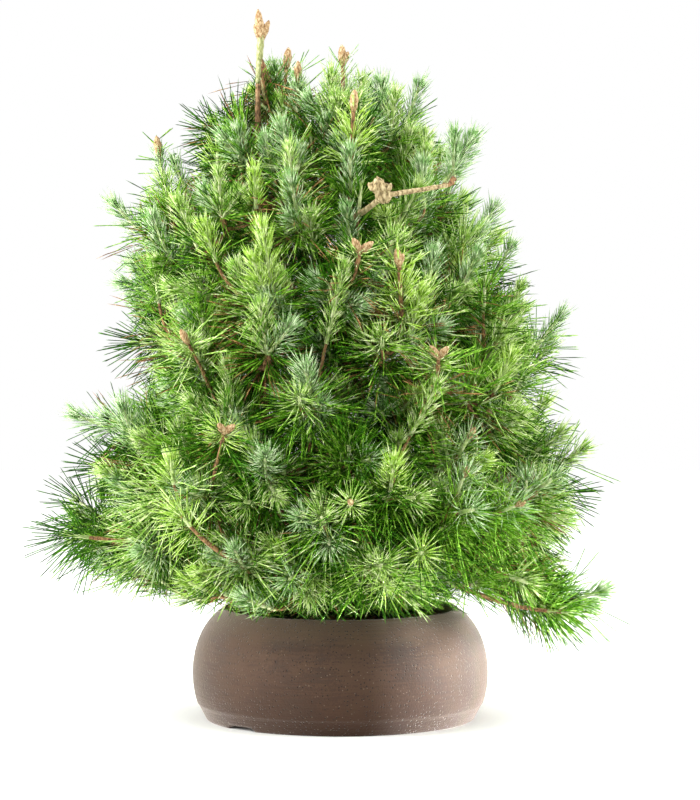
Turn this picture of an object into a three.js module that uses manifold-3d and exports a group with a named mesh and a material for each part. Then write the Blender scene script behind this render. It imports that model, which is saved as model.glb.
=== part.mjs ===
// Aleppo pine bonsai in a round stoneware bowl, as closed solids in millimetres, +Z up.
// The origin is the centre of the bowl's flat underside, and -Y is the front.
import * as THREE from "three";
import { mergeVertices } from "three/addons/utils/BufferGeometryUtils.js";
import Module from "manifold-3d";

const wasm = await Module();
wasm.setup();

// Gaps between neighbouring solids
const SEAT_GAP = 0.3;
const STEM_GAP = 0.32;
const SPACE_GAP = 0.5;
const LIMB_GAP = 0.6;
const BOWL_CLEARANCE = 3;
const SLIVER = 0.04;

// Bowl: a thrown bowl with an incurved rim, a ridge above the foot and two notches under it
const BOWL_RADIUS = 100;
const BOWL_BELLY_HEIGHT = 31;
const RIM_RADIUS = 80.5;
const RIM_HEIGHT = 75;
const LIP_ROUND = 2.6;
const RIDGE_RADIUS = 96.8;
const RIDGE_HEIGHT = 10;
const FOOT_TOP_RADIUS = 94;
const FOOT_TOP_HEIGHT = 8.2;
const FOOT_RADIUS = 91;
const BOWL_WALL = 7.5;
const BOWL_FLOOR = 9;
const BOWL_SIDES = 28;
const OUTSIDE_STEPS = 4;
const INSIDE_STEPS = 3;
const NOTCH_WIDTH = 25;
const NOTCH_HEIGHT = 2.6;
const NOTCH_DEPTH = 16;
const NOTCH_TURN = THREE.MathUtils.degToRad(224);

// Soil: fills the bowl, level where the trunk stands and lower along the wall
const SOIL_TOP = 68;
const SOIL_EDGE = 64.5;
const SOIL_LEVEL_RADIUS = 34;
const SOIL_GAP = 0.4;

// Trunk: leans to the left with a gentle double bend and ends under the leader
const TRUNK_FOOT = SOIL_TOP + SEAT_GAP;
const TRUNK_TIP_HEIGHT = 428;
const TRUNK_LEAN = -55;
const TRUNK_SWAY = 13;
const TRUNK_SWAY_DEEP = 9;
const TRUNK_RADIUS = 11;
const TRUNK_TIP_RADIUS = 2.4;
const ROOT_FLARE = 9;
const ROOT_FLARE_HEIGHT = 30;
const ROOT_RIDGES = 5;
const TRUNK_SIDES = 10;
const TRUNK_RINGS = 15;

// Crown outline in the front view: how far the shoot tips reach left and right of the bowl's axis
const CROWN_HEIGHTS = [72, 100, 145, 190, 225, 270, 325, 365, 398, 420, 438, 448];
const CROWN_LEFT = [160, 180, 190, 182, 160, 150, 152, 141, 116, 92, 62, 34];
const CROWN_RIGHT = [166, 178, 166, 164, 150, 148, 120, 96, 78, 58, 40, 8];
const CROWN_DEPTH_SHARE = 0.96;
const SKIRT_SIDE_HEIGHT = 84;
const SKIRT_FRONT_HEIGHT = 98;
const NEEDLE_FLOOR_LEFT = 74;
const NEEDLE_FLOOR_RIGHT = 46;
const NEEDLE_FLOOR_FRONT = 82;

// Needle masses: one on each bough, spaced evenly over the crown by the golden angle
const GOLDEN_ANGLE = Math.PI * (3 - Math.sqrt(5));
const MASS_PLACES = 24;
const MASS_INSET = 0.62;
const MASS_START_TURN = 0.4;
const MASS_LEAST_HEIGHT = 108;
const BOUGH_LEAST_SHARE = 0.55;
const SMALL_SPACE = 0.5;
const BOUGH_DROP_LOW = -0.12;
const BOUGH_RISE_HIGH = 0.85;
const BOUGH_THICKNESS = 0.5;
const BOUGH_TAPER = 0.62;
const BOUGH_SIDES = 5;
const BOUGH_RINGS = 3;
const BOUGH_LEAST_RADIUS = 2.3;

// The branch that shows bare on the right of the crown, with a healed stub at its bend
const BARE_BRANCH_ROOT_HEIGHT = 322;
const BARE_BRANCH_SAG = new THREE.Vector3(2, -80, 328);
const BARE_BRANCH_BEND = new THREE.Vector3(28, -98, 352);
const BARE_BRANCH_TIP = new THREE.Vector3(70, -76, 359);
const BARE_BRANCH_CENTRE = new THREE.Vector3(82, -66, 381);
const STUB_RADIUS = 6.5;
const STUB_LENGTH = 13;
const STUB_ALONG = new THREE.Vector3(-0.3, -0.25, 0.8).normalize();
const STUB_SUNK = 3;

// The leader that stands above the crown, with its cluster of buds
const LEADER_TOP = 479;
const LEADER_RADIUS = 2.2;
const LEADER_BUD_LENGTH = 19;
const LEADER_BUD_RADIUS = 3.4;

// Shoots: a slim core that needles stand out of, long at its foot and short at its tip
const SHOOT_COUNT = 114;
const SHOOT_LENGTH = 38;
const SHOOT_START_TURN = 2.1;
const SHOOT_BANDS = 4;
const SHOOT_SIDES = 3;
const SHOOT_RADIUS = 2.8;
const SHOOT_TIP_RADIUS = 1.5;
const NEEDLE_LONG = 54;
const NEEDLE_SHORT = 26;
const NEEDLE_LEAST_SHARE = 0.45;
const NEEDLE_CUTS = [1, 0.85, 0.7, 0.55];
const NEEDLE_GAP = 2.2;
const NEEDLE_SPREAD_FOOT = THREE.MathUtils.degToRad(82);
const NEEDLE_SPREAD_TIP = THREE.MathUtils.degToRad(26);
const SHOOT_LIFT_LOW = THREE.MathUtils.degToRad(4);
const SHOOT_LIFT_HIGH = THREE.MathUtils.degToRad(78);
const SHOOT_LIFT_SCATTER = THREE.MathUtils.degToRad(16);
const SHOOT_TURN_SCATTER = THREE.MathUtils.degToRad(18);
const SHOOT_REACH_SCATTER = 8;
const SHOOT_INSET = 7;
const MOUTH_TURNS = [-0.55, 0.05, 0.6];
const MOUTH_REACH = 122;
const MOUTH_HEIGHT = 99;
const MOUTH_LIFT = -0.05;
const MOUTH_VIGOUR = 0.7;
const TWIG_RADIUS = 1.7;
const TWIG_SETBACK = 0.75;
const STEM_SIDES = 4;
const STEM_TIP_RADIUS = 1.7;
const STEM_OVERRUN = 0.3;

// Shoots with a place of their own: where the tip is, where it points and how long its needles are
const LOW_LEFT_SHOOTS = [
  { tip: [-198, -14, 132], along: [-1, -0.05, 0.04], vigour: 1 },
  { tip: [-186, -40, 112], along: [-0.95, -0.25, -0.2], vigour: 1 },
];
const LOW_RIGHT_SHOOTS = [
  { tip: [174, -10, 76], along: [1, -0.05, -0.12], vigour: 1 },
  { tip: [158, -36, 70], along: [0.9, -0.3, -0.35], vigour: 1 },
];
const LEADER_SHOOTS = [
  { tip: [-64, -8, 449], along: [-0.25, -0.1, 1], vigour: 0.5 },
  { tip: [-44, 6, 456], along: [0.22, 0.1, 1], vigour: 0.5 },
];
const BARE_BRANCH_SHOOTS = [
  { tip: [75, -68, 403], along: [0.02, 0, 1], vigour: 0.55 },
  { tip: [92, -62, 391], along: [0.5, 0.1, 0.8], vigour: 0.55 },
];

const BARK = { color: 0x7a5a40, roughness: 0.9, metalness: 0 };
const NEEDLES = { color: 0x5f9440, roughness: 0.55, metalness: 0 };
const STONEWARE = { color: 0x6f5c50, roughness: 0.8, metalness: 0 };
const EARTH = { color: 0x3b2c22, roughness: 1, metalness: 0 };

const UP = new THREE.Vector3(0, 0, 1);

// Seeded random numbers from 0 to 1, the same on every run.
function randomFrom(seed) {
  let state = seed >>> 0;
  return () => {
    state = (state + 0x6d2b79f5) >>> 0;
    let mixed = Math.imul(state ^ (state >>> 15), state | 1);
    mixed ^= mixed + Math.imul(mixed ^ (mixed >>> 7), mixed | 61);
    return ((mixed ^ (mixed >>> 14)) >>> 0) / 4294967296;
  };
}

// Value of a row of numbers at a place between its knots, with straight lines between them.
function between(knots, values, at) {
  const last = knots.length - 1;
  if (at <= knots[0]) return values[0];
  if (at >= knots[last]) return values[last];
  const upper = knots.findIndex((knot) => knot > at);
  const share = (at - knots[upper - 1]) / (knots[upper] - knots[upper - 1]);
  return values[upper - 1] + share * (values[upper] - values[upper - 1]);
}

// Closed solids

function solidOf(geometry) {
  const bare = geometry.clone();
  for (const name of Object.keys(bare.attributes)) if (name !== "position") bare.deleteAttribute(name);
  const merged = mergeVertices(bare, 1e-3);
  const vertProperties = new Float32Array(merged.attributes.position.array);
  const triVerts = new Uint32Array(merged.index.array);
  return new wasm.Manifold(new wasm.Mesh({ numProp: 3, vertProperties, triVerts }));
}

function geometryOf(solid) {
  const mesh = solid.getMesh();
  const geometry = new THREE.BufferGeometry();
  geometry.setAttribute("position", new THREE.BufferAttribute(new Float32Array(mesh.vertProperties), 3));
  geometry.setIndex(new THREE.BufferAttribute(new Uint32Array(mesh.triVerts), 1));
  geometry.computeVertexNormals();
  return geometry;
}

// The largest body of a solid, without slivers: a sealed hollow is filled, and a loose scrap is dropped.
function mainBody(solid) {
  const bodies = solid.simplify(SLIVER).decompose();
  return bodies.reduce((best, body) => (body.volume() > best.volume() ? body : best));
}

// Directions across a path at each of its points, turned as little as possible from one to the next.
function framesAlong(points) {
  const frames = [];
  let across = null;
  points.forEach((point, i) => {
    const before = points[Math.max(i - 1, 0)];
    const after = points[Math.min(i + 1, points.length - 1)];
    const along = after.clone().sub(before).normalize();
    if (!across) across = Math.abs(along.z) < 0.9 ? UP.clone() : new THREE.Vector3(1, 0, 0);
    across = across.clone().addScaledVector(along, -across.dot(along)).normalize();
    frames.push({ along, across, side: along.clone().cross(across) });
  });
  return frames;
}

// Points of one ring round a path, each at radius(angle).
function ringPoints(centre, frame, sides, radius, turn = 0) {
  return Array.from({ length: sides }, (_, j) => {
    const angle = turn + (2 * Math.PI * j) / sides;
    const r = radius(angle);
    return centre
      .clone()
      .addScaledVector(frame.across, r * Math.cos(angle))
      .addScaledVector(frame.side, r * Math.sin(angle));
  });
}

function meshFromTriangles(points, triangles) {
  const geometry = new THREE.BufferGeometry();
  geometry.setAttribute(
    "position",
    new THREE.BufferAttribute(new Float32Array(points.flatMap((p) => [p.x, p.y, p.z])), 3),
  );
  geometry.setIndex(triangles.flat());
  return geometry;
}

// A limb of round section along a path, with flat ends, where radii(i, angle) gives each ring.
function limbGeometry(path, sides, radii) {
  const frames = framesAlong(path);
  const points = path.flatMap((p, i) => ringPoints(p, frames[i], sides, (angle) => radii(i, angle)));
  const triangles = [];
  const last = (path.length - 1) * sides;
  for (let i = 0; i + 1 < path.length; i++) {
    for (let j = 0; j < sides; j++) {
      const a = i * sides + j;
      const b = i * sides + ((j + 1) % sides);
      triangles.push([a, b, a + sides], [b, b + sides, a + sides]);
    }
  }
  for (let j = 1; j + 1 < sides; j++) {
    triangles.push([0, j + 1, j], [last, last + j, last + j + 1]);
  }
  return meshFromTriangles(points, triangles);
}

// Crown outline

// How far shoot tips reach from the bowl's axis at a height and a direction round it.
function crownReach(height, turn) {
  const left = between(CROWN_HEIGHTS, CROWN_LEFT, height);
  const right = between(CROWN_HEIGHTS, CROWN_RIGHT, height);
  const c = Math.cos(turn);
  const sideReach = c > 0 ? right : left;
  const depth = CROWN_DEPTH_SHARE * 0.5 * (left + right);
  return sideReach * c * c + depth * (1 - c * c);
}

// Lowest shoot tips: they hang beside the bowl at its left and right, and stay above its rim in front.
function skirtHeight(turn) {
  const c = Math.cos(turn);
  return SKIRT_FRONT_HEIGHT + (SKIRT_SIDE_HEIGHT - SKIRT_FRONT_HEIGHT) * c * c;
}

// Lowest needle tips, which hang deepest at the right.
function needleFloor(point) {
  const c = point.x / Math.hypot(point.x, point.y);
  const side = c > 0 ? NEEDLE_FLOOR_RIGHT : NEEDLE_FLOOR_LEFT;
  return NEEDLE_FLOOR_FRONT + (side - NEEDLE_FLOOR_FRONT) * c * c;
}

// Heights that share the crown's surface into equal areas, as a function of the share from 0 to 1.
function heightByArea() {
  const steps = 200;
  const lowest = SKIRT_SIDE_HEIGHT;
  const highest = CROWN_HEIGHTS.at(-1);
  const leftReach = (z) => between(CROWN_HEIGHTS, CROWN_LEFT, z);
  const rightReach = (z) => between(CROWN_HEIGHTS, CROWN_RIGHT, z);
  const meanReach = (z) => 0.5 * (leftReach(z) + rightReach(z));
  const heights = [lowest];
  const areas = [0];
  for (let i = 1; i <= steps; i++) {
    const z = lowest + ((highest - lowest) * i) / steps;
    const slant = Math.hypot(z - heights.at(-1), meanReach(z) - meanReach(heights.at(-1)));
    heights.push(z);
    areas.push(areas.at(-1) + meanReach(z) * slant);
  }
  const total = areas.at(-1);
  return (share) => between(areas, heights, share * total);
}

const crownHeightAt = heightByArea();

// A point at a distance and a direction round the bowl's axis.
function around(reach, turn, height) {
  return new THREE.Vector3(reach * Math.cos(turn), reach * Math.sin(turn), height);
}

// A place on the crown by its number on a golden-angle spiral of count places.
function spiralPlace(index, count, startTurn) {
  const share = (index + 0.5) / count;
  const turn = (startTurn + index * GOLDEN_ANGLE) % (2 * Math.PI);
  const level = crownHeightAt(share);
  const skirt = skirtHeight(turn);
  const top = CROWN_HEIGHTS.at(-1);
  const height = skirt + ((level - SKIRT_SIDE_HEIGHT) * (top - skirt)) / (top - SKIRT_SIDE_HEIGHT);
  return { share, turn, height, reach: crownReach(height, turn) };
}

// Trunk

function trunkShare(height) {
  return (height - TRUNK_FOOT) / (TRUNK_TIP_HEIGHT - TRUNK_FOOT);
}

function trunkPoint(height) {
  const t = trunkShare(height);
  return new THREE.Vector3(
    TRUNK_LEAN * t * t * (1.6 - 0.6 * t) + TRUNK_SWAY * Math.sin(2 * Math.PI * t),
    TRUNK_SWAY_DEEP * Math.sin(1.5 * Math.PI * t),
    height,
  );
}

function trunkRadius(height) {
  const t = trunkShare(height);
  return TRUNK_RADIUS + (TRUNK_TIP_RADIUS - TRUNK_RADIUS) * Math.pow(t, 0.8);
}

function trunkPath() {
  return Array.from({ length: TRUNK_RINGS }, (_, i) => {
    const t = Math.pow(i / (TRUNK_RINGS - 1), 1.25);
    return trunkPoint(TRUNK_FOOT + t * (TRUNK_TIP_HEIGHT - TRUNK_FOOT));
  });
}

// The trunk with its root flare; grow widens it, which cuts a seat in what stands against it.
function trunkGeometry(grow = 0) {
  const path = trunkPath();
  const geometry = limbGeometry(path, TRUNK_SIDES, (i, angle) => {
    const above = (path[i].z - TRUNK_FOOT) / ROOT_FLARE_HEIGHT;
    const flare = Math.max(0, 1 - above) ** 2;
    const ridge = 1 + 0.45 * Math.cos(ROOT_RIDGES * angle + 0.6);
    return trunkRadius(path[i].z) + ROOT_FLARE * flare * ridge + grow;
  });
  // the foot is cut level, whatever the trunk's lean there
  const position = geometry.attributes.position;
  for (let j = 0; j < TRUNK_SIDES; j++) position.setZ(j, TRUNK_FOOT - grow);
  return geometry;
}

// Boughs and the spaces of their needle masses

// Where a mass sits: part of the way from the trunk out to the crown's surface.
function massCentre(index) {
  const place = spiralPlace(index, MASS_PLACES, MASS_START_TURN);
  const height = Math.max(place.height - 6, MASS_LEAST_HEIGHT);
  const surface = around(place.reach, place.turn, height);
  return trunkPoint(Math.min(height, TRUNK_TIP_HEIGHT)).lerp(surface, MASS_INSET);
}

const LEADER = MASS_PLACES - 1;
const BARE_BRANCH = MASS_PLACES;
const CENTRES = [
  ...Array.from({ length: LEADER }, (_, i) => massCentre(i)),
  trunkPoint(TRUNK_TIP_HEIGHT).addScaledVector(UP, 8),
  BARE_BRANCH_CENTRE,
];

// The leader and the bare branch take less room than the other masses.
const SPACE_SIZES = CENTRES.map((_, own) => (own >= LEADER ? SMALL_SPACE : 1));

// The flat border of the space round a centre toward another one, a share of the way to it.
function border(centre, other, share) {
  const toward = other.clone().sub(centre).normalize();
  return { toward, reach: toward.dot(centre) + share * other.distanceTo(centre) };
}

// The borders of each mass's space, one toward every other mass.
const BORDERS = CENTRES.map((centre, own) =>
  CENTRES.flatMap((other, k) =>
    k === own ? [] : [border(centre, other, SPACE_SIZES[own] / (SPACE_SIZES[own] + SPACE_SIZES[k]))],
  ),
);

// How far a straight line from a point runs before it leaves the space of a mass.
function roomAhead(point, along, own) {
  const crossings = BORDERS[own]
    .filter(({ toward }) => toward.dot(along) > 1e-6)
    .map(({ toward, reach }) => (reach - toward.dot(point)) / toward.dot(along));
  return Math.min(...crossings);
}

// How deep a point lies in the space of a mass.
function depthInSpace(point, own) {
  return Math.min(...BORDERS[own].map(({ toward, reach }) => reach - toward.dot(point)));
}

function bezierPath(start, control, end, steps) {
  return new THREE.QuadraticBezierCurve3(start, control, end).getPoints(steps);
}

// The line of a bough from the trunk's axis to where it enters the space of its mass.
function boughPath(own) {
  const centre = CENTRES[own];
  const out = centre.distanceTo(trunkPoint(centre.z));
  const level = THREE.MathUtils.clamp((centre.z - 100) / 300, 0, 1);
  const rise = (BOUGH_DROP_LOW + (BOUGH_RISE_HIGH - BOUGH_DROP_LOW) * level) * out;
  const rootHeight = THREE.MathUtils.clamp(centre.z - rise, TRUNK_FOOT + 24, TRUNK_TIP_HEIGHT - 22);
  const root = trunkPoint(rootHeight);
  let share = BOUGH_LEAST_SHARE;
  const tip = new THREE.Vector3().lerpVectors(root, centre, share);
  while (depthInSpace(tip, own) < 6 && share < 0.92) {
    share += 0.03;
    tip.lerpVectors(root, centre, share);
  }
  const control = root.clone().lerp(tip, 0.5).addScaledVector(UP, 0.1 * out * (1 - 2 * level));
  return bezierPath(root, control, tip, BOUGH_RINGS);
}

function bareBranchPath() {
  const root = trunkPoint(BARE_BRANCH_ROOT_HEIGHT);
  const rising = bezierPath(root, BARE_BRANCH_SAG, BARE_BRANCH_BEND, BOUGH_RINGS);
  return [...rising, BARE_BRANCH_BEND.clone().lerp(BARE_BRANCH_TIP, 0.5), BARE_BRANCH_TIP.clone()];
}

function boughRadii(path) {
  const foot = Math.max(BOUGH_LEAST_RADIUS, BOUGH_THICKNESS * trunkRadius(path[0].z));
  return path.map((_, i) => foot * (1 - ((1 - BOUGH_TAPER) * i) / (path.length - 1)));
}

const BOUGHS = CENTRES.map((_, own) => {
  if (own === LEADER) return null;
  const path = own === BARE_BRANCH ? bareBranchPath() : boughPath(own);
  return { path, radii: boughRadii(path) };
});

// A healed stub: a short knobbly peg that stands off the bare branch at its bend.
function stubSolid(grow) {
  const foot = BARE_BRANCH_BEND.clone().addScaledVector(STUB_ALONG, -STUB_SUNK);
  const path = [0, 0.35, 0.75, 1].map((t) => foot.clone().addScaledVector(STUB_ALONG, t * STUB_LENGTH));
  const bulge = [0.75, 1, 0.9, 0.5];
  const radius = (i, angle) => STUB_RADIUS * bulge[i] * (1 + 0.15 * Math.cos(2 * angle)) + grow;
  return solidOf(limbGeometry(path, BOUGH_SIDES + 1, radius));
}

// One bough, cut where it meets the trunk; grow widens it, as for the trunk.
function boughBlank(own, grow = 0) {
  const { path, radii } = BOUGHS[own];
  const ahead = path.at(-1).clone().sub(path.at(-2)).setLength(grow);
  const line = [...path.slice(0, -1), path.at(-1).clone().add(ahead)];
  const solid = solidOf(limbGeometry(line, BOUGH_SIDES, (i) => radii[i] + grow));
  return own === BARE_BRANCH ? solid.add(stubSolid(grow)) : solid;
}

// What shoots keep clear of

// Straight stretches of a path, each with its larger radius.
function stretchesOf(path, radii) {
  return path.slice(1).map((end, i) => ({
    line: new THREE.Line3(path[i], end),
    radius: Math.max(radii[i], radii[i + 1]),
  }));
}

function trunkStretches() {
  const path = trunkPath();
  const flared = (p) => (p.z < TRUNK_FOOT + ROOT_FLARE_HEIGHT ? ROOT_FLARE : 0);
  return stretchesOf(path, path.map((p) => trunkRadius(p.z) + flared(p)));
}

const LIMB_STRETCHES = [
  ...trunkStretches(),
  ...BOUGHS.filter(Boolean).flatMap((bough) => stretchesOf(bough.path, bough.radii)),
];

function touchesLimb(from, to, thickness) {
  const way = new THREE.Line3(from, to);
  const room = thickness + LIMB_GAP;
  return LIMB_STRETCHES.some(({ line, radius }) => way.distanceSqToLine3(line) < (radius + room) ** 2);
}

// The bowl's outside from its foot up to the rim.
const BOWL_SIDE = bowlOutside().filter((p) => p.x >= RIM_RADIUS);
const BOWL_SIDE_HEIGHTS = BOWL_SIDE.map((p) => p.y);
const BOWL_SIDE_REACHES = BOWL_SIDE.map((p) => p.x);

// Whether a point is within the bowl or too close to it.
function inBowl(point) {
  const wall = between(BOWL_SIDE_HEIGHTS, BOWL_SIDE_REACHES, point.z);
  return point.z < RIM_HEIGHT + BOWL_CLEARANCE && Math.hypot(point.x, point.y) < wall + BOWL_CLEARANCE;
}

// Shoots

// Tip, foot and direction of each shoot, spread evenly over the crown.
function shootPlaces() {
  return Array.from({ length: SHOOT_COUNT }, (_, k) => {
    const random = randomFrom(1000 + k);
    const scatter = () => 2 * random() - 1;
    const place = spiralPlace(k, SHOOT_COUNT, SHOOT_START_TURN);
    const reach = place.reach - SHOOT_INSET + SHOOT_REACH_SCATTER * scatter();
    const turn = place.turn + SHOOT_TURN_SCATTER * scatter();
    const rising = SHOOT_LIFT_LOW + (SHOOT_LIFT_HIGH - SHOOT_LIFT_LOW) * Math.pow(place.share, 0.9);
    const lift = rising + SHOOT_LIFT_SCATTER * scatter();
    return shootFrom(around(reach, place.turn, place.height), around(Math.cos(lift), turn, Math.sin(lift)));
  });
}

// A shoot by its tip; vigour sets how long its needles are.
function shootFrom(tip, along, vigour = 1) {
  return { tip, along, vigour, foot: tip.clone().addScaledVector(along, -SHOOT_LENGTH) };
}

// Low shoots that close the crown over the bowl's mouth, in front and behind.
function mouthShoots() {
  return [-1, 1].flatMap((side) =>
    MOUTH_TURNS.map((aside) => {
      const turn = side * (Math.PI / 2 + aside);
      const along = around(1, turn, MOUTH_LIFT).normalize();
      return shootFrom(around(MOUTH_REACH, turn, MOUTH_HEIGHT), along, MOUTH_VIGOUR);
    }),
  );
}

function singleShoots() {
  const rows = [...LOW_LEFT_SHOOTS, ...LOW_RIGHT_SHOOTS, ...LEADER_SHOOTS, ...BARE_BRANCH_SHOOTS];
  return rows.map(({ tip, along, vigour }) =>
    shootFrom(new THREE.Vector3(...tip), new THREE.Vector3(...along).normalize(), vigour),
  );
}

// The mass, of the first ones, whose space holds most of a shoot.
function spaceOf(shoot, masses) {
  const depths = CENTRES.slice(0, masses).map((_, own) =>
    Math.min(depthInSpace(shoot.tip, own), depthInSpace(shoot.foot, own)),
  );
  return depths.indexOf(Math.max(...depths));
}

// Moves a shoot that stands across a border sideways until its core is within the space of its mass.
function settled(shoot, own) {
  const move = new THREE.Vector3();
  for (let round = 0; round < 8; round++) {
    for (const { toward, reach } of BORDERS[own]) {
      for (const end of [shoot.tip, shoot.foot]) {
        const over = toward.dot(end) + toward.dot(move) + SHOOT_RADIUS + 2 * SPACE_GAP - reach;
        if (over > 0) move.addScaledVector(toward, -over);
      }
    }
  }
  return shootFrom(shoot.tip.clone().add(move), shoot.along, shoot.vigour);
}

// The stem of a mass: it carries a bough on from its tip, past the mass's centre.
function stemOf(own) {
  if (own === LEADER) {
    const start = trunkPoint(TRUNK_TIP_HEIGHT).addScaledVector(UP, STEM_GAP);
    const end = new THREE.Vector3(start.x + 2, start.y, LEADER_TOP - LEADER_BUD_LENGTH);
    return { path: [start, start.clone().lerp(end, 0.5), end], foot: TRUNK_TIP_RADIUS, tip: LEADER_RADIUS };
  }
  const { path, radii } = BOUGHS[own];
  const along = path.at(-1).clone().sub(path.at(-2)).normalize();
  const start = path.at(-1).clone().addScaledVector(along, STEM_GAP);
  const beyond = CENTRES[own].clone().sub(path.at(-1)).multiplyScalar(STEM_OVERRUN);
  const end = CENTRES[own].clone().add(beyond);
  const straight = start.clone().addScaledVector(along, 4);
  return { path: [start, straight, end], foot: radii.at(-1), tip: STEM_TIP_RADIUS };
}

function stemSolid(stem) {
  const radii = [stem.foot, stem.foot, stem.tip];
  return solidOf(limbGeometry(stem.path, STEM_SIDES, (i) => radii[i]));
}

// Where a twig leaves its stem, so that it runs forward to the foot of its shoot.
function twigStart(stem, foot) {
  const [, start, end] = stem.path;
  const axis = end.clone().sub(start);
  const length = axis.length();
  axis.normalize();
  const along = foot.clone().sub(start).dot(axis);
  const aside = foot.clone().sub(start).addScaledVector(axis, -along).length();
  const at = THREE.MathUtils.clamp(along - TWIG_SETBACK * aside, 0.04 * length, 0.96 * length);
  return start.clone().addScaledVector(axis, at);
}

// The line of a twig from its stem to the foot of its shoot, bent less where the bend has no room.
function twigPath(stem, shoot, own) {
  const start = twigStart(stem, shoot.foot);
  const span = start.distanceTo(shoot.foot);
  const bends = [0.45, 0.25, 0].map((bend) => {
    const middle = start.clone().lerp(shoot.foot, 0.5);
    const ahead = shoot.foot.clone().addScaledVector(shoot.along, -bend * span);
    return bezierPath(start, bend ? ahead : middle, shoot.foot, 2);
  });
  return bends.find((path) => staysClear(path[1], path[2], SHOOT_RADIUS, own)) ?? bends[2];
}

function staysClear(from, to, thickness, own) {
  const middle = from.clone().lerp(to, 0.5);
  return (
    depthInSpace(to, own) > thickness + SPACE_GAP &&
    to.z > needleFloor(to) &&
    !inBowl(to) &&
    !inBowl(middle) &&
    !touchesLimb(from, to, thickness)
  );
}

// Whether a needle comes close to another needle, twig or stem of its mass.
function crosses(needle, standing) {
  return standing.some(({ line, radius }) => needle.distanceSqToLine3(line) < (radius + NEEDLE_GAP) ** 2);
}

// The line of a twig and its shoot, or nothing where it would leave its space or touch a limb.
function shootPath(stem, shoot, own) {
  const twig = twigPath(stem, shoot, own);
  const core = Array.from({ length: SHOOT_BANDS + 1 }, (_, i) =>
    shoot.foot.clone().addScaledVector(shoot.along, (SHOOT_LENGTH * 0.8 * i) / SHOOT_BANDS),
  );
  const path = [...twig.slice(0, -1), ...core];
  const clear = path.slice(2).every((p, i) => staysClear(path[i + 1], p, SHOOT_RADIUS, own));
  return clear ? path : null;
}

// One twig with its shoot: every band of the core is a ring of six faces, and a needle stands on each
// that has room. The needles are added to what stands in the mass already.
function shootGeometry(path, shoot, own, others, standing) {
  const first = path.length - 1 - SHOOT_BANDS;
  const frames = framesAlong(path);
  const points = path.flatMap((p, i) => {
    const band = i - first;
    const share = Math.max(0, band) / SHOOT_BANDS;
    const radius = band < 0 ? TWIG_RADIUS : SHOOT_RADIUS + (SHOOT_TIP_RADIUS - SHOOT_RADIUS) * share;
    const turn = band > 0 && band % 2 ? Math.PI / SHOOT_SIDES : 0;
    return ringPoints(p, frames[i], SHOOT_SIDES, () => radius, turn);
  });
  const triangles = [[0, 2, 1]];
  const grown = [];
  for (let i = 0; i + 1 < path.length; i++) {
    const band = i - first;
    const twisted = band >= 0;
    for (let j = 0; j < SHOOT_SIDES; j++) {
      const next = (j + 1) % SHOOT_SIDES;
      const a = i * SHOOT_SIDES + j;
      const b = i * SHOOT_SIDES + next;
      const c = a + SHOOT_SIDES;
      const d = b + SHOOT_SIDES;
      if (!twisted) {
        triangles.push([a, b, c], [b, d, c]);
        continue;
      }
      const pair = band % 2 === 0 ? [[a, b, c], [b, d, c]] : [[a, b, d], [a, d, c]];
      pair.forEach((face, k) => addNeedle(face, (band + 0.5 * k) / (SHOOT_BANDS - 0.5)));
    }
  }
  const apex = points.push(shoot.foot.clone().addScaledVector(shoot.along, SHOOT_LENGTH)) - 1;
  const last = (path.length - 1) * SHOOT_SIDES;
  for (let j = 0; j < SHOOT_SIDES; j++) triangles.push([last + j, last + ((j + 1) % SHOOT_SIDES), apex]);
  standing.push(...grown);
  return meshFromTriangles(points, triangles);

  // Raises a needle on a face of the core, or leaves the face flat where there is no room for one.
  function addNeedle(face, share) {
    const corners = face.map((k) => points[k]);
    const root = corners.reduce((sum, p) => sum.add(p), new THREE.Vector3()).divideScalar(3);
    const outward = root.clone().sub(shoot.foot);
    outward.addScaledVector(shoot.along, -outward.dot(shoot.along)).normalize();
    const spread = NEEDLE_SPREAD_FOOT + (NEEDLE_SPREAD_TIP - NEEDLE_SPREAD_FOOT) * share;
    const full = shoot.vigour * (NEEDLE_LONG + (NEEDLE_SHORT - NEEDLE_LONG) * share);
    const needle = outward.multiplyScalar(Math.sin(spread)).addScaledVector(shoot.along, Math.cos(spread));
    const room = Math.min(full, roomAhead(root, needle, own) - 2 * SPACE_GAP);
    const needleTip = NEEDLE_CUTS.map((cut) => root.clone().addScaledVector(needle, cut * room)).find(
      (end) =>
        end.distanceTo(root) > NEEDLE_LEAST_SHARE * full &&
        staysClear(root, end, 0, own) &&
        !crosses(new THREE.Line3(root, end), [...others, ...standing]),
    );
    if (!needleTip) {
      triangles.push(face);
      return;
    }
    grown.push({ line: new THREE.Line3(root, needleTip), radius: 0 });
    const tip = points.push(needleTip) - 1;
    const [a, b, c] = face;
    triangles.push([a, b, tip], [b, c, tip], [c, a, tip]);
  }
}

// The leader's buds: one upright and two leaning, each a spindle with a blunt tip.
function budSolids(stem) {
  const foot = stem.path.at(-1);
  const spindle = [0.5, 1, 0.85, 0.3];
  const lean = [0, 0.42, -0.36];
  const size = [1, 0.72, 0.6];
  return lean.map((aside, k) => {
    const along = new THREE.Vector3(aside, 0.12 * k, 1).normalize();
    const from = foot.clone().addScaledVector(along, -3);
    const length = (LEADER_BUD_LENGTH + 3) * size[k];
    const path = [0, 0.35, 0.7, 1].map((t) => from.clone().addScaledVector(along, length * t));
    return solidOf(limbGeometry(path, STEM_SIDES, (i) => LEADER_BUD_RADIUS * size[k] * spindle[i]));
  });
}

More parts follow.
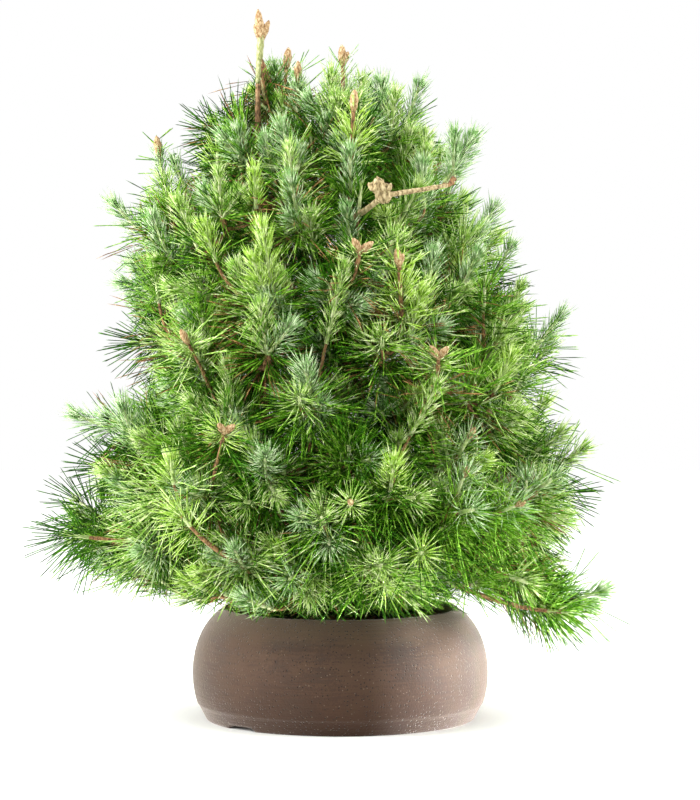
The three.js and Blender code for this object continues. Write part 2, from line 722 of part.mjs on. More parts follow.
// A needle mass: its stem and each shoot that keeps to the space, joined into one body.
function massSolid(own, shoots, limbs) {
  const stem = stemOf(own);
  const pieces = [stemSolid(stem)];
  if (own === LEADER) pieces.push(...budSolids(stem));
  const grown = shoots
    .map((shoot) => ({ shoot, path: shootPath(stem, shoot, own) }))
    .filter(({ path }) => path);
  const standing = stretchesOf(stem.path, stem.path.map(() => stem.foot));
  for (const { shoot, path } of grown) {
    const neighbours = grown.filter((other) => other.shoot !== shoot);
    const others = neighbours.flatMap((other) => stretchesOf(other.path, other.path.map(() => TWIG_RADIUS)));
    pieces.push(solidOf(shootGeometry(path, shoot, own, others, standing)));
  }
  return mainBody(limbs.reduce((solid, limb) => solid.subtract(limb), wasm.Manifold.union(pieces)));
}

// Bowl and soil

// Points of the bowl's inside from under the lip, down the wall and over the floor to the axis.
function bowlInside() {
  const r = BOWL_RADIUS - BOWL_WALL;
  const path = new THREE.Path();
  path.moveTo(RIM_RADIUS - 2 * LIP_ROUND, RIM_HEIGHT - LIP_ROUND);
  path.bezierCurveTo(r - 4, 60, r, 50, r, BOWL_BELLY_HEIGHT + 6);
  path.bezierCurveTo(r, 20, r - 3, BOWL_FLOOR, r - 16, BOWL_FLOOR);
  path.lineTo(0, BOWL_FLOOR);
  return path.getPoints(INSIDE_STEPS);
}

function bowlOutside() {
  const path = new THREE.Path();
  path.moveTo(0, 0);
  path.lineTo(FOOT_RADIUS, 0);
  path.lineTo(FOOT_TOP_RADIUS, FOOT_TOP_HEIGHT);
  path.lineTo(RIDGE_RADIUS, RIDGE_HEIGHT);
  path.quadraticCurveTo(BOWL_RADIUS, 20, BOWL_RADIUS, BOWL_BELLY_HEIGHT);
  path.bezierCurveTo(BOWL_RADIUS, 46, 95, 64, RIM_RADIUS, RIM_HEIGHT - LIP_ROUND * 0.4);
  const crest = new THREE.Vector2(RIM_RADIUS - LIP_ROUND, RIM_HEIGHT + LIP_ROUND * 0.6);
  path.quadraticCurveTo(crest.x, crest.y, RIM_RADIUS - 2 * LIP_ROUND, RIM_HEIGHT - LIP_ROUND);
  return path.getPoints(OUTSIDE_STEPS);
}

function latheSolid(outline) {
  const lathe = new THREE.LatheGeometry(outline, BOWL_SIDES);
  return solidOf(lathe.rotateX(Math.PI / 2));
}

function bowlSolid() {
  let solid = latheSolid([...bowlOutside(), ...bowlInside().slice(1)]);
  for (const half of [0, Math.PI]) {
    const notch = new THREE.BoxGeometry(NOTCH_DEPTH, NOTCH_WIDTH, 2 * NOTCH_HEIGHT);
    notch.translate(FOOT_TOP_RADIUS - NOTCH_DEPTH * 0.25, 0, 0);
    notch.rotateZ(NOTCH_TURN + half);
    solid = solid.subtract(solidOf(notch));
  }
  return solid;
}

// The soil takes the shape of the bowl's inside, a gap smaller, up to its own sloping top.
function soilSolid() {
  const inside = bowlInside().reverse();
  const edge = between(inside.map((p) => p.y), inside.map((p) => p.x), SOIL_EDGE) - 2 * SOIL_GAP;
  const lifted = (y) => (y < BOWL_BELLY_HEIGHT ? y + SOIL_GAP : y);
  const buried = inside
    .filter((p) => p.y < SOIL_EDGE)
    .map((p) => new THREE.Vector2(Math.max(0, p.x - SOIL_GAP), lifted(p.y)));
  const top = [
    new THREE.Vector2(edge, SOIL_EDGE),
    new THREE.Vector2(SOIL_LEVEL_RADIUS, SOIL_TOP),
    new THREE.Vector2(0, SOIL_TOP),
  ];
  return latheSolid([...buried, ...top]);
}

// Assembly

const part = new THREE.Group();
part.name = "aleppo_pine_bonsai";
const container = new THREE.Group();
const plant = new THREE.Group();
part.add(container, plant);

function addNode(group, name, solid, finish) {
  const mesh = new THREE.Mesh(geometryOf(solid), new THREE.MeshStandardMaterial(finish));
  mesh.name = name;
  group.add(mesh);
}

addNode(container, "bowl", bowlSolid(), STONEWARE);
addNode(container, "soil", soilSolid(), EARTH);

const trunk = solidOf(trunkGeometry());
const trunkSeat = solidOf(trunkGeometry(SEAT_GAP));
addNode(plant, "trunk", trunk, BARK);

const boughSeats = BOUGHS.flatMap((bough, own) => (bough ? [boughBlank(own, SEAT_GAP)] : []));
const limbSeats = [trunkSeat, ...boughSeats];
const shootsByMass = CENTRES.map(() => []);
for (const shoot of [...shootPlaces(), ...mouthShoots()]) {
  const own = spaceOf(shoot, BARE_BRANCH);
  shootsByMass[own].push(settled(shoot, own));
}
for (const shoot of singleShoots()) {
  const own = spaceOf(shoot, CENTRES.length);
  shootsByMass[own].push(settled(shoot, own));
}

const OWN_NAMES = { [LEADER]: "leader", [BARE_BRANCH]: "bare_branch" };
CENTRES.forEach((_, own) => {
  const label = OWN_NAMES[own] ?? String(own + 1).padStart(2, "0");
  if (BOUGHS[own]) addNode(plant, `bough_${label}`, mainBody(boughBlank(own).subtract(trunkSeat)), BARK);
  addNode(plant, `needles_${label}`, massSolid(own, shootsByMass[own], limbSeats), NEEDLES);
});

export default part;
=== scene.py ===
"""Aleppo pine bonsai in a stoneware bowl: bark, twigs, needles, buds, clay and soil in a white studio."""

import logging
import math
from collections.abc import Callable, Sequence
from dataclasses import dataclass, field
from enum import Enum

import bpy
import numpy as np
from bpy.types import Material, Node, NodeSocket, NodeTree, Object
from mathutils import Euler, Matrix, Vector, noise


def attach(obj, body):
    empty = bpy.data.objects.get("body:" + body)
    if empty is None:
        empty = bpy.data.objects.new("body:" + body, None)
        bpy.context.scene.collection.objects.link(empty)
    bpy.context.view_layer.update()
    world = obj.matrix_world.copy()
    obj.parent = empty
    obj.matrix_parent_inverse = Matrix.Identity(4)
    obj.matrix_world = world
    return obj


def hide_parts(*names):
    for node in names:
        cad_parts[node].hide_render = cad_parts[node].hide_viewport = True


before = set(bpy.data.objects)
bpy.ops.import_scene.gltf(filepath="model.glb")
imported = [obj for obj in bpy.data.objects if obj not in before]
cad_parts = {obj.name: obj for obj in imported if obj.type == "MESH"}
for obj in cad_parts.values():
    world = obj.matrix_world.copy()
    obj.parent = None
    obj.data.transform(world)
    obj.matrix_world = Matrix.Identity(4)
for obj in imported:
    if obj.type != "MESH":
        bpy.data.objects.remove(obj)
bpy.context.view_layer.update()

LOG = logging.getLogger("aleppo_pine")
MM = 0.001
UP = np.array([0.0, 0.0, 1.0])
GOLDEN_ANGLE = math.pi * (3 - math.sqrt(5))
WORD = 0xFFFFFFFF
PIECE_TRIANGLES = 190000
BODY = "root"

Pair = tuple[float, float]
Point = tuple[float, float, float]
Shape = tuple[np.ndarray, np.ndarray]  # corners in millimetres, and triangles as three corner numbers a row


# Numbers and colours


def linear(code: str) -> tuple[float, float, float, float]:
    """Turns an sRGB colour into the linear one that a shader takes.

    Args:
        code: Six hex digits, with or without a leading #.

    Returns:
        Linear red, green, blue and a full alpha.
    """
    digits = code.lstrip("#")
    parts = [int(digits[i:i + 2], 16) / 255 for i in (0, 2, 4)]
    red, green, blue = (c / 12.92 if c <= 0.04045 else ((c + 0.055) / 1.055) ** 2.4 for c in parts)
    return red, green, blue, 1.0


def per_mm(size: float) -> float:
    """Scale of a pattern whose features are that many millimetres across."""
    return 1.0 / (size * MM)


def random_from(seed: int) -> Callable[[], float]:
    """Makes the seeded random numbers that the solids grow by.

    Args:
        seed: Any whole number.

    Returns:
        A function that gives the next number from 0 to 1.
    """
    state = seed & WORD

    def draw() -> float:
        """Draws the next number.

        Returns:
            A number from 0 to 1.
        """
        nonlocal state
        state = (state + 0x6D2B79F5) & WORD
        mixed = ((state ^ (state >> 15)) * (state | 1)) & WORD
        mixed ^= (mixed + (((mixed ^ (mixed >> 7)) * (mixed | 61)) & WORD)) & WORD
        return (mixed ^ (mixed >> 14)) / 4294967296

    return draw


def swing(draw: Callable[[], float]) -> float:
    """The next random number, from -1 to 1."""
    return 2 * draw() - 1


def unit(vector: np.ndarray) -> np.ndarray:
    """The vector, or each row of several, at length one."""
    return vector / np.maximum(np.linalg.norm(vector, axis=-1, keepdims=True), 1e-9)


def around(reach: float, turn: float, height: float) -> np.ndarray:
    """A point at a distance and a direction round the bowl's axis."""
    return np.array([reach * math.cos(turn), reach * math.sin(turn), height])


def turns(sides: int) -> np.ndarray:
    """Directions of the corners of a ring."""
    return np.arange(sides) * 2 * math.pi / sides


def bezier(start: np.ndarray, control: np.ndarray, end: np.ndarray, steps: int) -> np.ndarray:
    """Points of a curve from start to end that leaves and arrives towards control.

    Args:
        start: First point.
        control: Point that the curve bends to.
        end: Last point.
        steps: Number of stretches.

    Returns:
        One row for each of the steps + 1 points.
    """
    t = np.linspace(0.0, 1.0, steps + 1)[:, None]
    return (1 - t) ** 2 * start + 2 * t * (1 - t) * control + t * t * end


def across(along: np.ndarray) -> tuple[np.ndarray, np.ndarray]:
    """Two directions square to each given one and to each other.

    Args:
        along: One unit vector in each row.

    Returns:
        Two arrays of unit vectors.
    """
    helper = np.where(np.abs(along[..., 2:3]) < 0.9, UP, np.array([1.0, 0.0, 0.0]))
    first = unit(np.cross(helper, along))
    return first, np.cross(along, first)


# Meshes


def mesh_piece(name: str, points: np.ndarray, triangles: np.ndarray) -> Object:
    """Makes a mesh object from arrays.

    Args:
        name: Name of the piece.
        points: Corners in millimetres.
        triangles: Three corner numbers in each row.

    Returns:
        The object, linked to the scene and smooth shaded.
    """
    mesh = bpy.data.meshes.new(name)
    mesh.vertices.add(len(points))
    mesh.vertices.foreach_set("co", (points * MM).astype(np.float32).ravel())
    mesh.loops.add(triangles.size)
    mesh.loops.foreach_set("vertex_index", triangles.astype(np.int32).ravel())
    mesh.polygons.add(len(triangles))
    mesh.polygons.foreach_set("loop_start", np.arange(0, triangles.size, 3, dtype=np.int32))
    mesh.update(calc_edges=True)
    mesh.shade_smooth()
    piece = bpy.data.objects.new(name, mesh)
    bpy.context.scene.collection.objects.link(piece)
    return piece


@dataclass
class Soup:
    """Many small closed shapes that are joined into one mesh."""

    points: list[np.ndarray] = field(default_factory=list)
    triangles: list[np.ndarray] = field(default_factory=list)
    size: int = 0

    def add(self, points: np.ndarray, triangles: np.ndarray) -> None:
        """Adds one shape.

        Args:
            points: Its corners in millimetres.
            triangles: Three corner numbers in each row, counted from its first corner.
        """
        self.points.append(points)
        self.triangles.append(triangles + self.size)
        self.size += len(points)

    def piece(self, name: str) -> Object:
        """All shapes as one mesh object."""
        return mesh_piece(name, np.concatenate(self.points), np.concatenate(self.triangles))


def wall_triangles(rings: int, sides: int) -> np.ndarray:
    """Triangles between successive rings of corners.

    Args:
        rings: Number of rings.
        sides: Corners of each ring.

    Returns:
        Three corner numbers in each row.
    """
    i, j = np.meshgrid(np.arange(rings - 1), np.arange(sides), indexing="ij")
    a = (i * sides + j).ravel()
    b = (i * sides + (j + 1) % sides).ravel()
    return np.concatenate([np.stack([a, b, a + sides], 1), np.stack([b, b + sides, a + sides], 1)])


def ring_triangles(rings: int, sides: int) -> np.ndarray:
    """Triangles of a tube, with a flat fan on both ends.

    Args:
        rings: Number of rings.
        sides: Corners of each ring.

    Returns:
        Three corner numbers in each row.
    """
    k = np.arange(1, sides - 1)
    last = (rings - 1) * sides
    foot = np.stack([np.zeros_like(k), k + 1, k], 1)
    tip = np.stack([np.full_like(k, last), last + k, last + k + 1], 1)
    return np.concatenate([wall_triangles(rings, sides), foot, tip])


def tube(path: np.ndarray, radii: np.ndarray, sides: int) -> Shape:
    """A limb of round section along a path.

    Args:
        path: Points of its middle line.
        radii: One radius for each point, or a row of radii for each, one a side.
        sides: Corners of each ring.

    Returns:
        Corners and triangles.
    """
    along = unit(np.gradient(path, axis=0))
    side = UP if abs(along[0, 2]) < 0.9 else np.array([1.0, 0.0, 0.0])
    angle = turns(sides)
    wide = np.broadcast_to(radii.reshape(len(path), -1), (len(path), sides))
    points = np.empty((len(path), sides, 3))
    for i, (centre, way) in enumerate(zip(path, along)):
        side = unit(side - way * (side @ way))
        other = np.cross(way, side)
        spokes = np.cos(angle)[:, None] * side + np.sin(angle)[:, None] * other
        points[i] = centre + wide[i][:, None] * spokes
    return points.reshape(-1, 3), ring_triangles(len(path), sides)


# Materials

Sockets = dict[str | int, NodeSocket]


def add_node(tree: NodeTree, kind: str, settings: dict[str | int, object],
             links: Sockets | None = None) -> Node:
    """Adds a node with its settings and links.

    Args:
        tree: Node tree of a material or world.
        kind: Blender's name for the node.
        settings: Values by the name or number of an input, or the name of the node's own property.
        links: Sockets that feed inputs, by the name or number of the input.

    Returns:
        The new node.
    """
    node = tree.nodes.new(kind)
    for name, value in settings.items():
        if isinstance(name, int) or name in node.inputs:
            node.inputs[name].default_value = value
        else:
            setattr(node, name, value)
    for name, socket in (links or {}).items():
        tree.links.new(socket, node.inputs[name])
    return node


def colour_steps(node: Node, steps: list[tuple[float, str]]) -> Node:
    """Sets the colours of a ramp.

    Args:
        node: A colour ramp.
        steps: Places from 0 to 1 with an sRGB colour each, two or more.

    Returns:
        The same node.
    """
    stops = node.color_ramp.elements
    while len(stops) < len(steps):
        stops.new(0.5)
    for stop, (place, code) in zip(stops, steps):
        stop.position = place
        stop.color = linear(code)
    return node


def new_material(name: str) -> tuple[Material, NodeTree, Node, NodeSocket]:
    """Starts a material.

    Args:
        name: Its name.

    Returns:
        The material, its node tree, its shader node and the coordinates of the surface.
    """
    material = bpy.data.materials.new(name)
    material.use_nodes = True
    tree = material.node_tree
    place = add_node(tree, "ShaderNodeTexCoord", {})
    return material, tree, tree.nodes["Principled BSDF"], place.outputs["Object"]


def set_shader(shader: Node, values: dict[str, object]) -> None:
    """Sets values that are the same all over a surface on the shader's own sockets."""
    for name, value in values.items():
        shader.inputs[name].default_value = value


@dataclass(frozen=True)
class NeedleFinish:
    """Waxy skin of a living needle: a soft broad gloss over green that differs from needle to needle."""

    name: str
    dark: str
    middle: str
    light: str
    roughness: float = 0.42
    gloss: float = 0.3
    mottle_mm: float = 4.5

    def material(self) -> Material:
        """Greens that change from needle to needle, with a low gloss.

        Returns:
            The material.
        """
        material, tree, shader, place = new_material(self.name)
        set_shader(shader, {"Roughness": self.roughness, "IOR": 1.45, "Specular IOR Level": self.gloss})
        mottle = add_node(tree, "ShaderNodeTexNoise", {"Scale": per_mm(self.mottle_mm), "Detail": 2.0},
                          {"Vector": place})
        ramp = add_node(tree, "ShaderNodeValToRGB", {}, {"Fac": mottle.outputs["Fac"]})
        colour_steps(ramp, [(0.38, self.dark), (0.5, self.middle), (0.62, self.light)])
        tree.links.new(ramp.outputs["Color"], shader.inputs["Base Color"])
        return material


@dataclass(frozen=True)
class BarkFinish:
    """Young pine bark: thin dry scales, matt, darker in the cracks between them."""

    name: str
    crack: str
    scale: str
    pale: str
    plate_mm: float = 5.0
    grain_mm: float = 1.2

    def material(self) -> Material:
        """Scales with dark cracks, drawn out along the limb, over a dry grain.

        Returns:
            The material.
        """
        material, tree, shader, place = new_material(self.name)
        set_shader(shader, {"Roughness": 0.88, "IOR": 1.5})
        drawn = add_node(tree, "ShaderNodeMapping", {"Scale": (1.0, 1.0, 0.45)}, {"Vector": place})
        plates = add_node(tree, "ShaderNodeTexVoronoi",
                          {"feature": "DISTANCE_TO_EDGE", "Scale": per_mm(self.plate_mm)},
                          {"Vector": drawn.outputs["Vector"]})
        grain = add_node(tree, "ShaderNodeTexNoise", {"Scale": per_mm(self.grain_mm), "Detail": 4.0},
                         {"Vector": drawn.outputs["Vector"]})
        mixed = add_node(tree, "ShaderNodeMath", {"operation": "MULTIPLY_ADD", 1: 0.6},
                         {0: plates.outputs["Distance"], 2: grain.outputs["Fac"]})
        ramp = add_node(tree, "ShaderNodeValToRGB", {}, {"Fac": mixed.outputs["Value"]})
        colour_steps(ramp, [(0.38, self.crack), (0.55, self.scale), (0.8, self.pale)])
        relief = add_node(tree, "ShaderNodeBump", {"Strength": 0.6, "Distance": 0.6 * MM},
                          {"Height": mixed.outputs["Value"]})
        tree.links.new(ramp.outputs["Color"], shader.inputs["Base Color"])
        tree.links.new(relief.outputs["Normal"], shader.inputs["Normal"])
        return material


@dataclass(frozen=True)
class StonewareFinish:
    """Unglazed thrown stoneware: matt clay, fine turning lines, pale grog and small dark pits."""

    name: str = "stoneware_thrown_unglazed"
    smoky: str = "3e3229"
    clay: str = "423026"
    warm: str = "4d392b"
    # Redder clay at the foot, mixed in from well up the wall: the redness is the clay's own, and the
    # darkening of the lower wall is painted shade.
    foot: str = "361f10"
    # Paler clay at the rim: painted light that makes up for the shade the crown casts on the rim.
    rim: str = "6c5844"
    grog: str = "716154"
    pit: str = "140e0a"
    cloud_mm: float = 40.0
    line_mm: float = 1.3
    grain_mm: float = 1.1
    grog_mm: float = 2.0
    pit_mm: float = 1.8
    grog_cover: Pair = (0.2, 0.68)
    pit_cover: Pair = (0.33, 0.55)
    speck_core: float = 0.6
    foot_tint_and_painted_shade_mm: Pair = (52.0, 7.0)
    painted_light_rim_mm: Pair = (57.0, 76.0)
    veil: float = 0.85
    dust: float = 0.75

    def specks(self, tree: NodeTree, place: NodeSocket, size: float, width: float,
               share: float) -> NodeSocket:
        """A mask of scattered specks.

        Args:
            tree: The material's nodes.
            place: Coordinates of the surface.
            size: Spacing of the specks in millimetres.
            width: Radius of a speck as a share of the spacing.
            share: Share of the places that have no speck.

        Returns:
            A socket that is 1 on a speck and 0 beside it.
        """
        cells = add_node(tree, "ShaderNodeTexVoronoi", {"Scale": per_mm(size)}, {"Vector": place})
        near = add_node(tree, "ShaderNodeMapRange",
                        {"From Min": width, "From Max": self.speck_core * width, "To Max": 1.0},
                        {"Value": cells.outputs["Distance"]})
        deal = add_node(tree, "ShaderNodeSeparateColor", {}, {"Color": cells.outputs["Color"]})
        kept = add_node(tree, "ShaderNodeMath", {"operation": "GREATER_THAN", 1: share},
                        {0: deal.outputs["Red"]})
        both = add_node(tree, "ShaderNodeMath", {"operation": "MULTIPLY"},
                        {0: near.outputs["Result"], 1: kept.outputs["Value"]})
        return both.outputs["Value"]

    def material(self) -> Material:
        """Clouded clay with grain, grog and pits, redder and darker at the foot and paler at the rim: the
        darkening is partly painted shade, the paler rim is painted light.

        Grog and pits are drawn coarser than life, so that they show from the camera. A fine dust gives
        the matt clay its pale edges.

        Returns:
            The material.
        """
        material, tree, shader, place = new_material(self.name)
        set_shader(shader, {"Roughness": 0.8, "IOR": 1.5, "Specular IOR Level": 0.2,
                            "Sheen Weight": self.dust, "Sheen Roughness": 0.4,
                            "Sheen Tint": linear("fff4ea")})
        cloud = add_node(tree, "ShaderNodeTexNoise", {"Scale": per_mm(self.cloud_mm), "Detail": 5.0,
                                                      "Roughness": 0.6}, {"Vector": place})
        turned = add_node(tree, "ShaderNodeMapping", {"Scale": (0.05, 0.05, 1.0)}, {"Vector": place})
        lines = add_node(tree, "ShaderNodeTexNoise", {"Scale": per_mm(self.line_mm), "Detail": 3.0},
                         {"Vector": turned.outputs["Vector"]})
        grain = add_node(tree, "ShaderNodeTexNoise", {"Scale": per_mm(self.grain_mm), "Detail": 2.0},
                         {"Vector": place})
        fine = add_node(tree, "ShaderNodeMath", {"operation": "ADD"},
                        {0: lines.outputs["Fac"], 1: grain.outputs["Fac"]})
        half = add_node(tree, "ShaderNodeMath", {"operation": "MULTIPLY", 1: 0.9}, {0: cloud.outputs["Fac"]})
        shade = add_node(tree, "ShaderNodeMath", {"operation": "MULTIPLY_ADD", 1: 0.5},
                         {0: fine.outputs["Value"], 2: half.outputs["Value"]})
        ramp = add_node(tree, "ShaderNodeValToRGB", {}, {"Fac": shade.outputs["Value"]})
        colour_steps(ramp, [(0.79, self.smoky), (0.95, self.clay), (1.0, self.warm)])
        height = add_node(tree, "ShaderNodeSeparateXYZ", {}, {"Vector": place})
        colour = ramp.outputs["Color"]
        # The foot colour darkens the lower wall, partly the clay's redder foot and partly painted shade; the
        # rim colour is painted light.
        for (start, full), over in ((self.foot_tint_and_painted_shade_mm, self.foot), (self.painted_light_rim_mm, self.rim)):
            share = add_node(tree, "ShaderNodeMapRange",
                             {"From Min": start * MM, "From Max": full * MM, "To Max": self.veil},
                             {"Value": height.outputs["Z"]})
            colour = self.mixed(tree, share.outputs["Result"], colour, over)
        pits = self.specks(tree, place, self.pit_mm, *self.pit_cover)
        colour = self.mixed(tree, pits, colour, self.pit)
        grog = self.specks(tree, place, self.grog_mm, *self.grog_cover)
        colour = self.mixed(tree, grog, colour, self.grog)
        sunk = add_node(tree, "ShaderNodeMath", {"operation": "SUBTRACT"},
                        {0: fine.outputs["Value"], 1: pits})
        relief = add_node(tree, "ShaderNodeBump", {"Strength": 0.6, "Distance": 0.5 * MM},
                          {"Height": sunk.outputs["Value"]})
        tree.links.new(colour, shader.inputs["Base Color"])
        tree.links.new(relief.outputs["Normal"], shader.inputs["Normal"])
        return material

    def mixed(self, tree: NodeTree, share: NodeSocket, under: NodeSocket, over: str) -> NodeSocket:
        """Lays a colour over another by a mask.

        Args:
            tree: The material's nodes.
            share: The mask.
            under: Socket of the colour below.
            over: The colour on top.

        Returns:
            Socket of the mixed colour.
        """
        mix = add_node(tree, "ShaderNodeMix", {"data_type": "RGBA", 7: linear(over)}, {0: share, 6: under})
        return mix.outputs[2]


@dataclass(frozen=True)
class EarthFinish:
    """Moist potting soil: dark crumbs of peat and fired clay, rough, with paler grit."""

    name: str = "potting_soil_granular"
    peat: str = "2a1f18"
    crumb: str = "4a382b"
    grit: str = "7d6a58"
    crumb_mm: float = 3.0

    def material(self) -> Material:
        """Crumbs of several browns with a coarse relief.

        Returns:
            The material.
        """
        material, tree, shader, place = new_material(self.name)
        set_shader(shader, {"Roughness": 0.95, "IOR": 1.45})
        crumbs = add_node(tree, "ShaderNodeTexNoise", {"Scale": per_mm(self.crumb_mm), "Detail": 4.0},
                          {"Vector": place})
        ramp = add_node(tree, "ShaderNodeValToRGB", {}, {"Fac": crumbs.outputs["Fac"]})
        colour_steps(ramp, [(0.35, self.peat), (0.55, self.crumb), (0.72, self.grit)])
        relief = add_node(tree, "ShaderNodeBump", {"Strength": 0.7, "Distance": 1.0 * MM},
                          {"Height": crumbs.outputs["Fac"]})
        tree.links.new(ramp.outputs["Color"], shader.inputs["Base Color"])
        tree.links.new(relief.outputs["Normal"], shader.inputs["Normal"])
        return material


class Tint(Enum):
    """The needle colours that sprays are dealt."""

    # The darkest green is partly the colour of old needles and partly painted shade: it is dealt to the inner
    # and lower needles and to the backlit edges.
    DEEP = NeedleFinish("needles_year_old_deep_green", "183a00", "2a5804", "467e12", gloss=0.1)
    MID = NeedleFinish("needles_year_old_green", "427a06", "679e1a", "9ac64e", gloss=0.18)
    BLUE = NeedleFinish("needles_new_blue_green", "6e9d50", "9ec180", "d4e3bc")
    FRESH = NeedleFinish("needles_new_fresh_green", "78a834", "a8cb62", "dce8b0")
    LIME = NeedleFinish("needles_new_yellow_green", "8cb830", "b2d65c", "dceea8")
    DRY = NeedleFinish("needles_dry_brown", "6b4526", "8d6238", "b08a55", 0.6)


# Dry scales break the light on bark and twigs. Bare wood is bleached, and resin makes the buds pale.
BARK = BarkFinish("bark_young_pine_scaly", "523a28", "8f6b48", "bd9c74")
BARE_WOOD = BarkFinish("branch_weathered_bare", "665638", "a28e64", "cebe94", 3.0, 1.4)
TWIG_SKIN = BarkFinish("twig_skin_ridged", "4b3422", "84603c", "b08a5c", 3.0, 1.0)
CANDLE_SKIN = NeedleFinish("candle_stem_pale_green", "9cb469", "bccc8b", "d6dcae", 0.55)
BUD_SCALES = BarkFinish("bud_scales_resinous", "785832", "aa885e", "d6c098", 2.2, 0.8)
LEADER_SKIN = BarkFinish("leader_skin_olive", "757c42", "a4a96e", "c8c69c", 3.0, 1.2)


# The plant's rule of growth, the one that the solids follow


@dataclass
class Place:
    """A place on the crown's outline."""

    share: float
    turn: float
    height: float
    reach: float


@dataclass(frozen=True)
class Hollow:
    """A hollow between two tiers of shoots, where sky shows at the crown's left (-1) or right (1) edge."""

    side: int
    height: float
    half: float
    depth: float


HOLLOWS = (
    Hollow(-1, 266, 12, 16),
    Hollow(-1, 240, 16, 26),
    Hollow(-1, 178, 15, 16),
    Hollow(-1, 100, 26, 38),
    Hollow(1, 368, 14, 14),
    Hollow(1, 292, 12, 12),
    Hollow(1, 234, 16, 22),
    Hollow(1, 114, 20, 52),
)


@dataclass
class Outline:
    """How far the shoot tips reach, in millimetres from the bowl's axis."""

    heights: tuple[float, ...] = (72, 100, 145, 190, 225, 270, 325, 365, 398, 420, 438, 448)
    left: tuple[float, ...] = (160, 180, 190, 182, 160, 150, 152, 141, 116, 92, 62, 34)
    right: tuple[float, ...] = (166, 178, 166, 164, 150, 148, 120, 96, 78, 58, 40, 8)
    depth_share: float = 0.96
    skirt_side: float = 84.0
    skirt_front: float = 98.0
    floor_left: float = 83.0
    floor_right: float = 46.0
    floor_front: float = 80.0
    bowl_side: float = 104.0
    floor_fade: float = 22.0
    hollows: tuple[Hollow, ...] = HOLLOWS
    steps: int = 200

    def __post_init__(self) -> None:
        """Shares the outline into equal areas."""
        self.levels = np.linspace(self.skirt_side, self.heights[-1], self.steps + 1)
        mean = 0.5 * (np.interp(self.levels, self.heights, self.left)
                      + np.interp(self.levels, self.heights, self.right))
        slant = np.hypot(np.diff(self.levels), np.diff(mean))
        self.areas = np.concatenate([[0.0], np.cumsum(mean[1:] * slant)])

    def reach(self, height: float, turn: float) -> float:
        """How far tips reach.

        Args:
            height: Height in millimetres.
            turn: Direction round the bowl's axis.

        Returns:
            Distance from the axis.
        """
        left = float(np.interp(height, self.heights, self.left))
        right = float(np.interp(height, self.heights, self.right))
        c = math.cos(turn)
        side = right if c > 0 else left
        return side * c * c + self.depth_share * 0.5 * (left + right) * (1 - c * c)

    def hollow(self, height: float, turn: float) -> float:
        """How far the crown is drawn in between its tiers.

        Args:
            height: Height in millimetres.
            turn: Direction round the bowl's axis.

        Returns:
            Depth, or 0 for none.
        """
        c = math.cos(turn)
        depth = 0.0
        for dent in self.hollows:
            if c * dent.side > 0:
                near = min(abs(height - dent.height) / dent.half, 1.0)
                depth += dent.depth * c * c * math.cos(0.5 * math.pi * near) ** 2
        return depth

    def needle_floor(self, points: np.ndarray) -> np.ndarray:
        """Lowest height of a needle tip at each point: above the rim, and lower beside the bowl.

        Args:
            points: One point in each row.

        Returns:
            One height for each point.
        """
        side = np.where(points[:, 0] > 0, self.floor_right, self.floor_left)
        away = np.clip((np.abs(points[:, 0]) - self.bowl_side) / self.floor_fade, 0, 1)
        return self.floor_front + (side - self.floor_front) * away

    def place(self, index: int, count: int, start_turn: float) -> Place:
        """A place by its number on a golden-angle spiral.

        Args:
            index: Number of the place, from the lowest.
            count: How many places the spiral has.
            start_turn: Direction of the first one.

        Returns:
            Where it is.
        """
        share = (index + 0.5) / count
        turn = math.fmod(start_turn + index * GOLDEN_ANGLE, 2 * math.pi)
        level = float(np.interp(share * self.areas[-1], self.areas, self.levels))
        skirt = self.skirt_front + (self.skirt_side - self.skirt_front) * math.cos(turn) ** 2
        top = self.heights[-1]
        height = skirt + (level - self.skirt_side) * (top - skirt) / (top - self.skirt_side)
        return Place(share, turn, height, self.reach(height, turn))


@dataclass
class Trunk:
    """The trunk: it leans left with a double bend, flares at its roots and ends thinner than the solid."""

    foot: float = 68.3
    tip: float = 428.0
    lean: float = -55.0
    sway: float = 13.0
    sway_deep: float = 9.0
    radius_foot: float = 11.0
    radius_tip: float = 1.6
    flare: float = 9.0
    flare_height: float = 30.0
    ridges: int = 5
    ridge_depth: float = 0.45
    relief: float = 0.09
    rings: int = 190
    sides: int = 44

    def point(self, height: float) -> np.ndarray:
        """The middle of the trunk at a height.

        Args:
            height: Height in millimetres.

        Returns:
            The point.
        """
        t = (height - self.foot) / (self.tip - self.foot)
        return np.array([
            self.lean * t * t * (1.6 - 0.6 * t) + self.sway * math.sin(2 * math.pi * t),
            self.sway_deep * math.sin(1.5 * math.pi * t),
            height,
        ])

    def radius(self, height: float) -> float:
        """The trunk's radius at a height, without its flare."""
        t = (height - self.foot) / (self.tip - self.foot)
        return self.radius_foot + (self.radius_tip - self.radius_foot) * t ** 0.8

    def build(self) -> Object:
        """Makes the trunk with scales, cracks and root ridges in its mesh.

        Returns:
            The dressed piece.
        """
        path = np.array([self.point(z) for z in np.linspace(self.foot, self.tip, self.rings)])
        angle = turns(self.sides)
        flare = np.clip(1 - (path[:, 2] - self.foot) / self.flare_height, 0, None)[:, None] ** 2
        ridge = 1 + self.ridge_depth * np.cos(self.ridges * angle + 0.6)
        plain = np.array([self.radius(z) for z in path[:, 2]])[:, None]
        radii = plain + self.flare * flare * ridge
        radii = radii * (1 + bark_relief(path, radii, self.relief))
        points, triangles = tube(path, radii, self.sides)
        points[:self.sides, 2] = self.foot
        piece = mesh_piece("trunk_bark", points, triangles)
        dress(piece, BARK.material(), ["trunk"])
        return piece


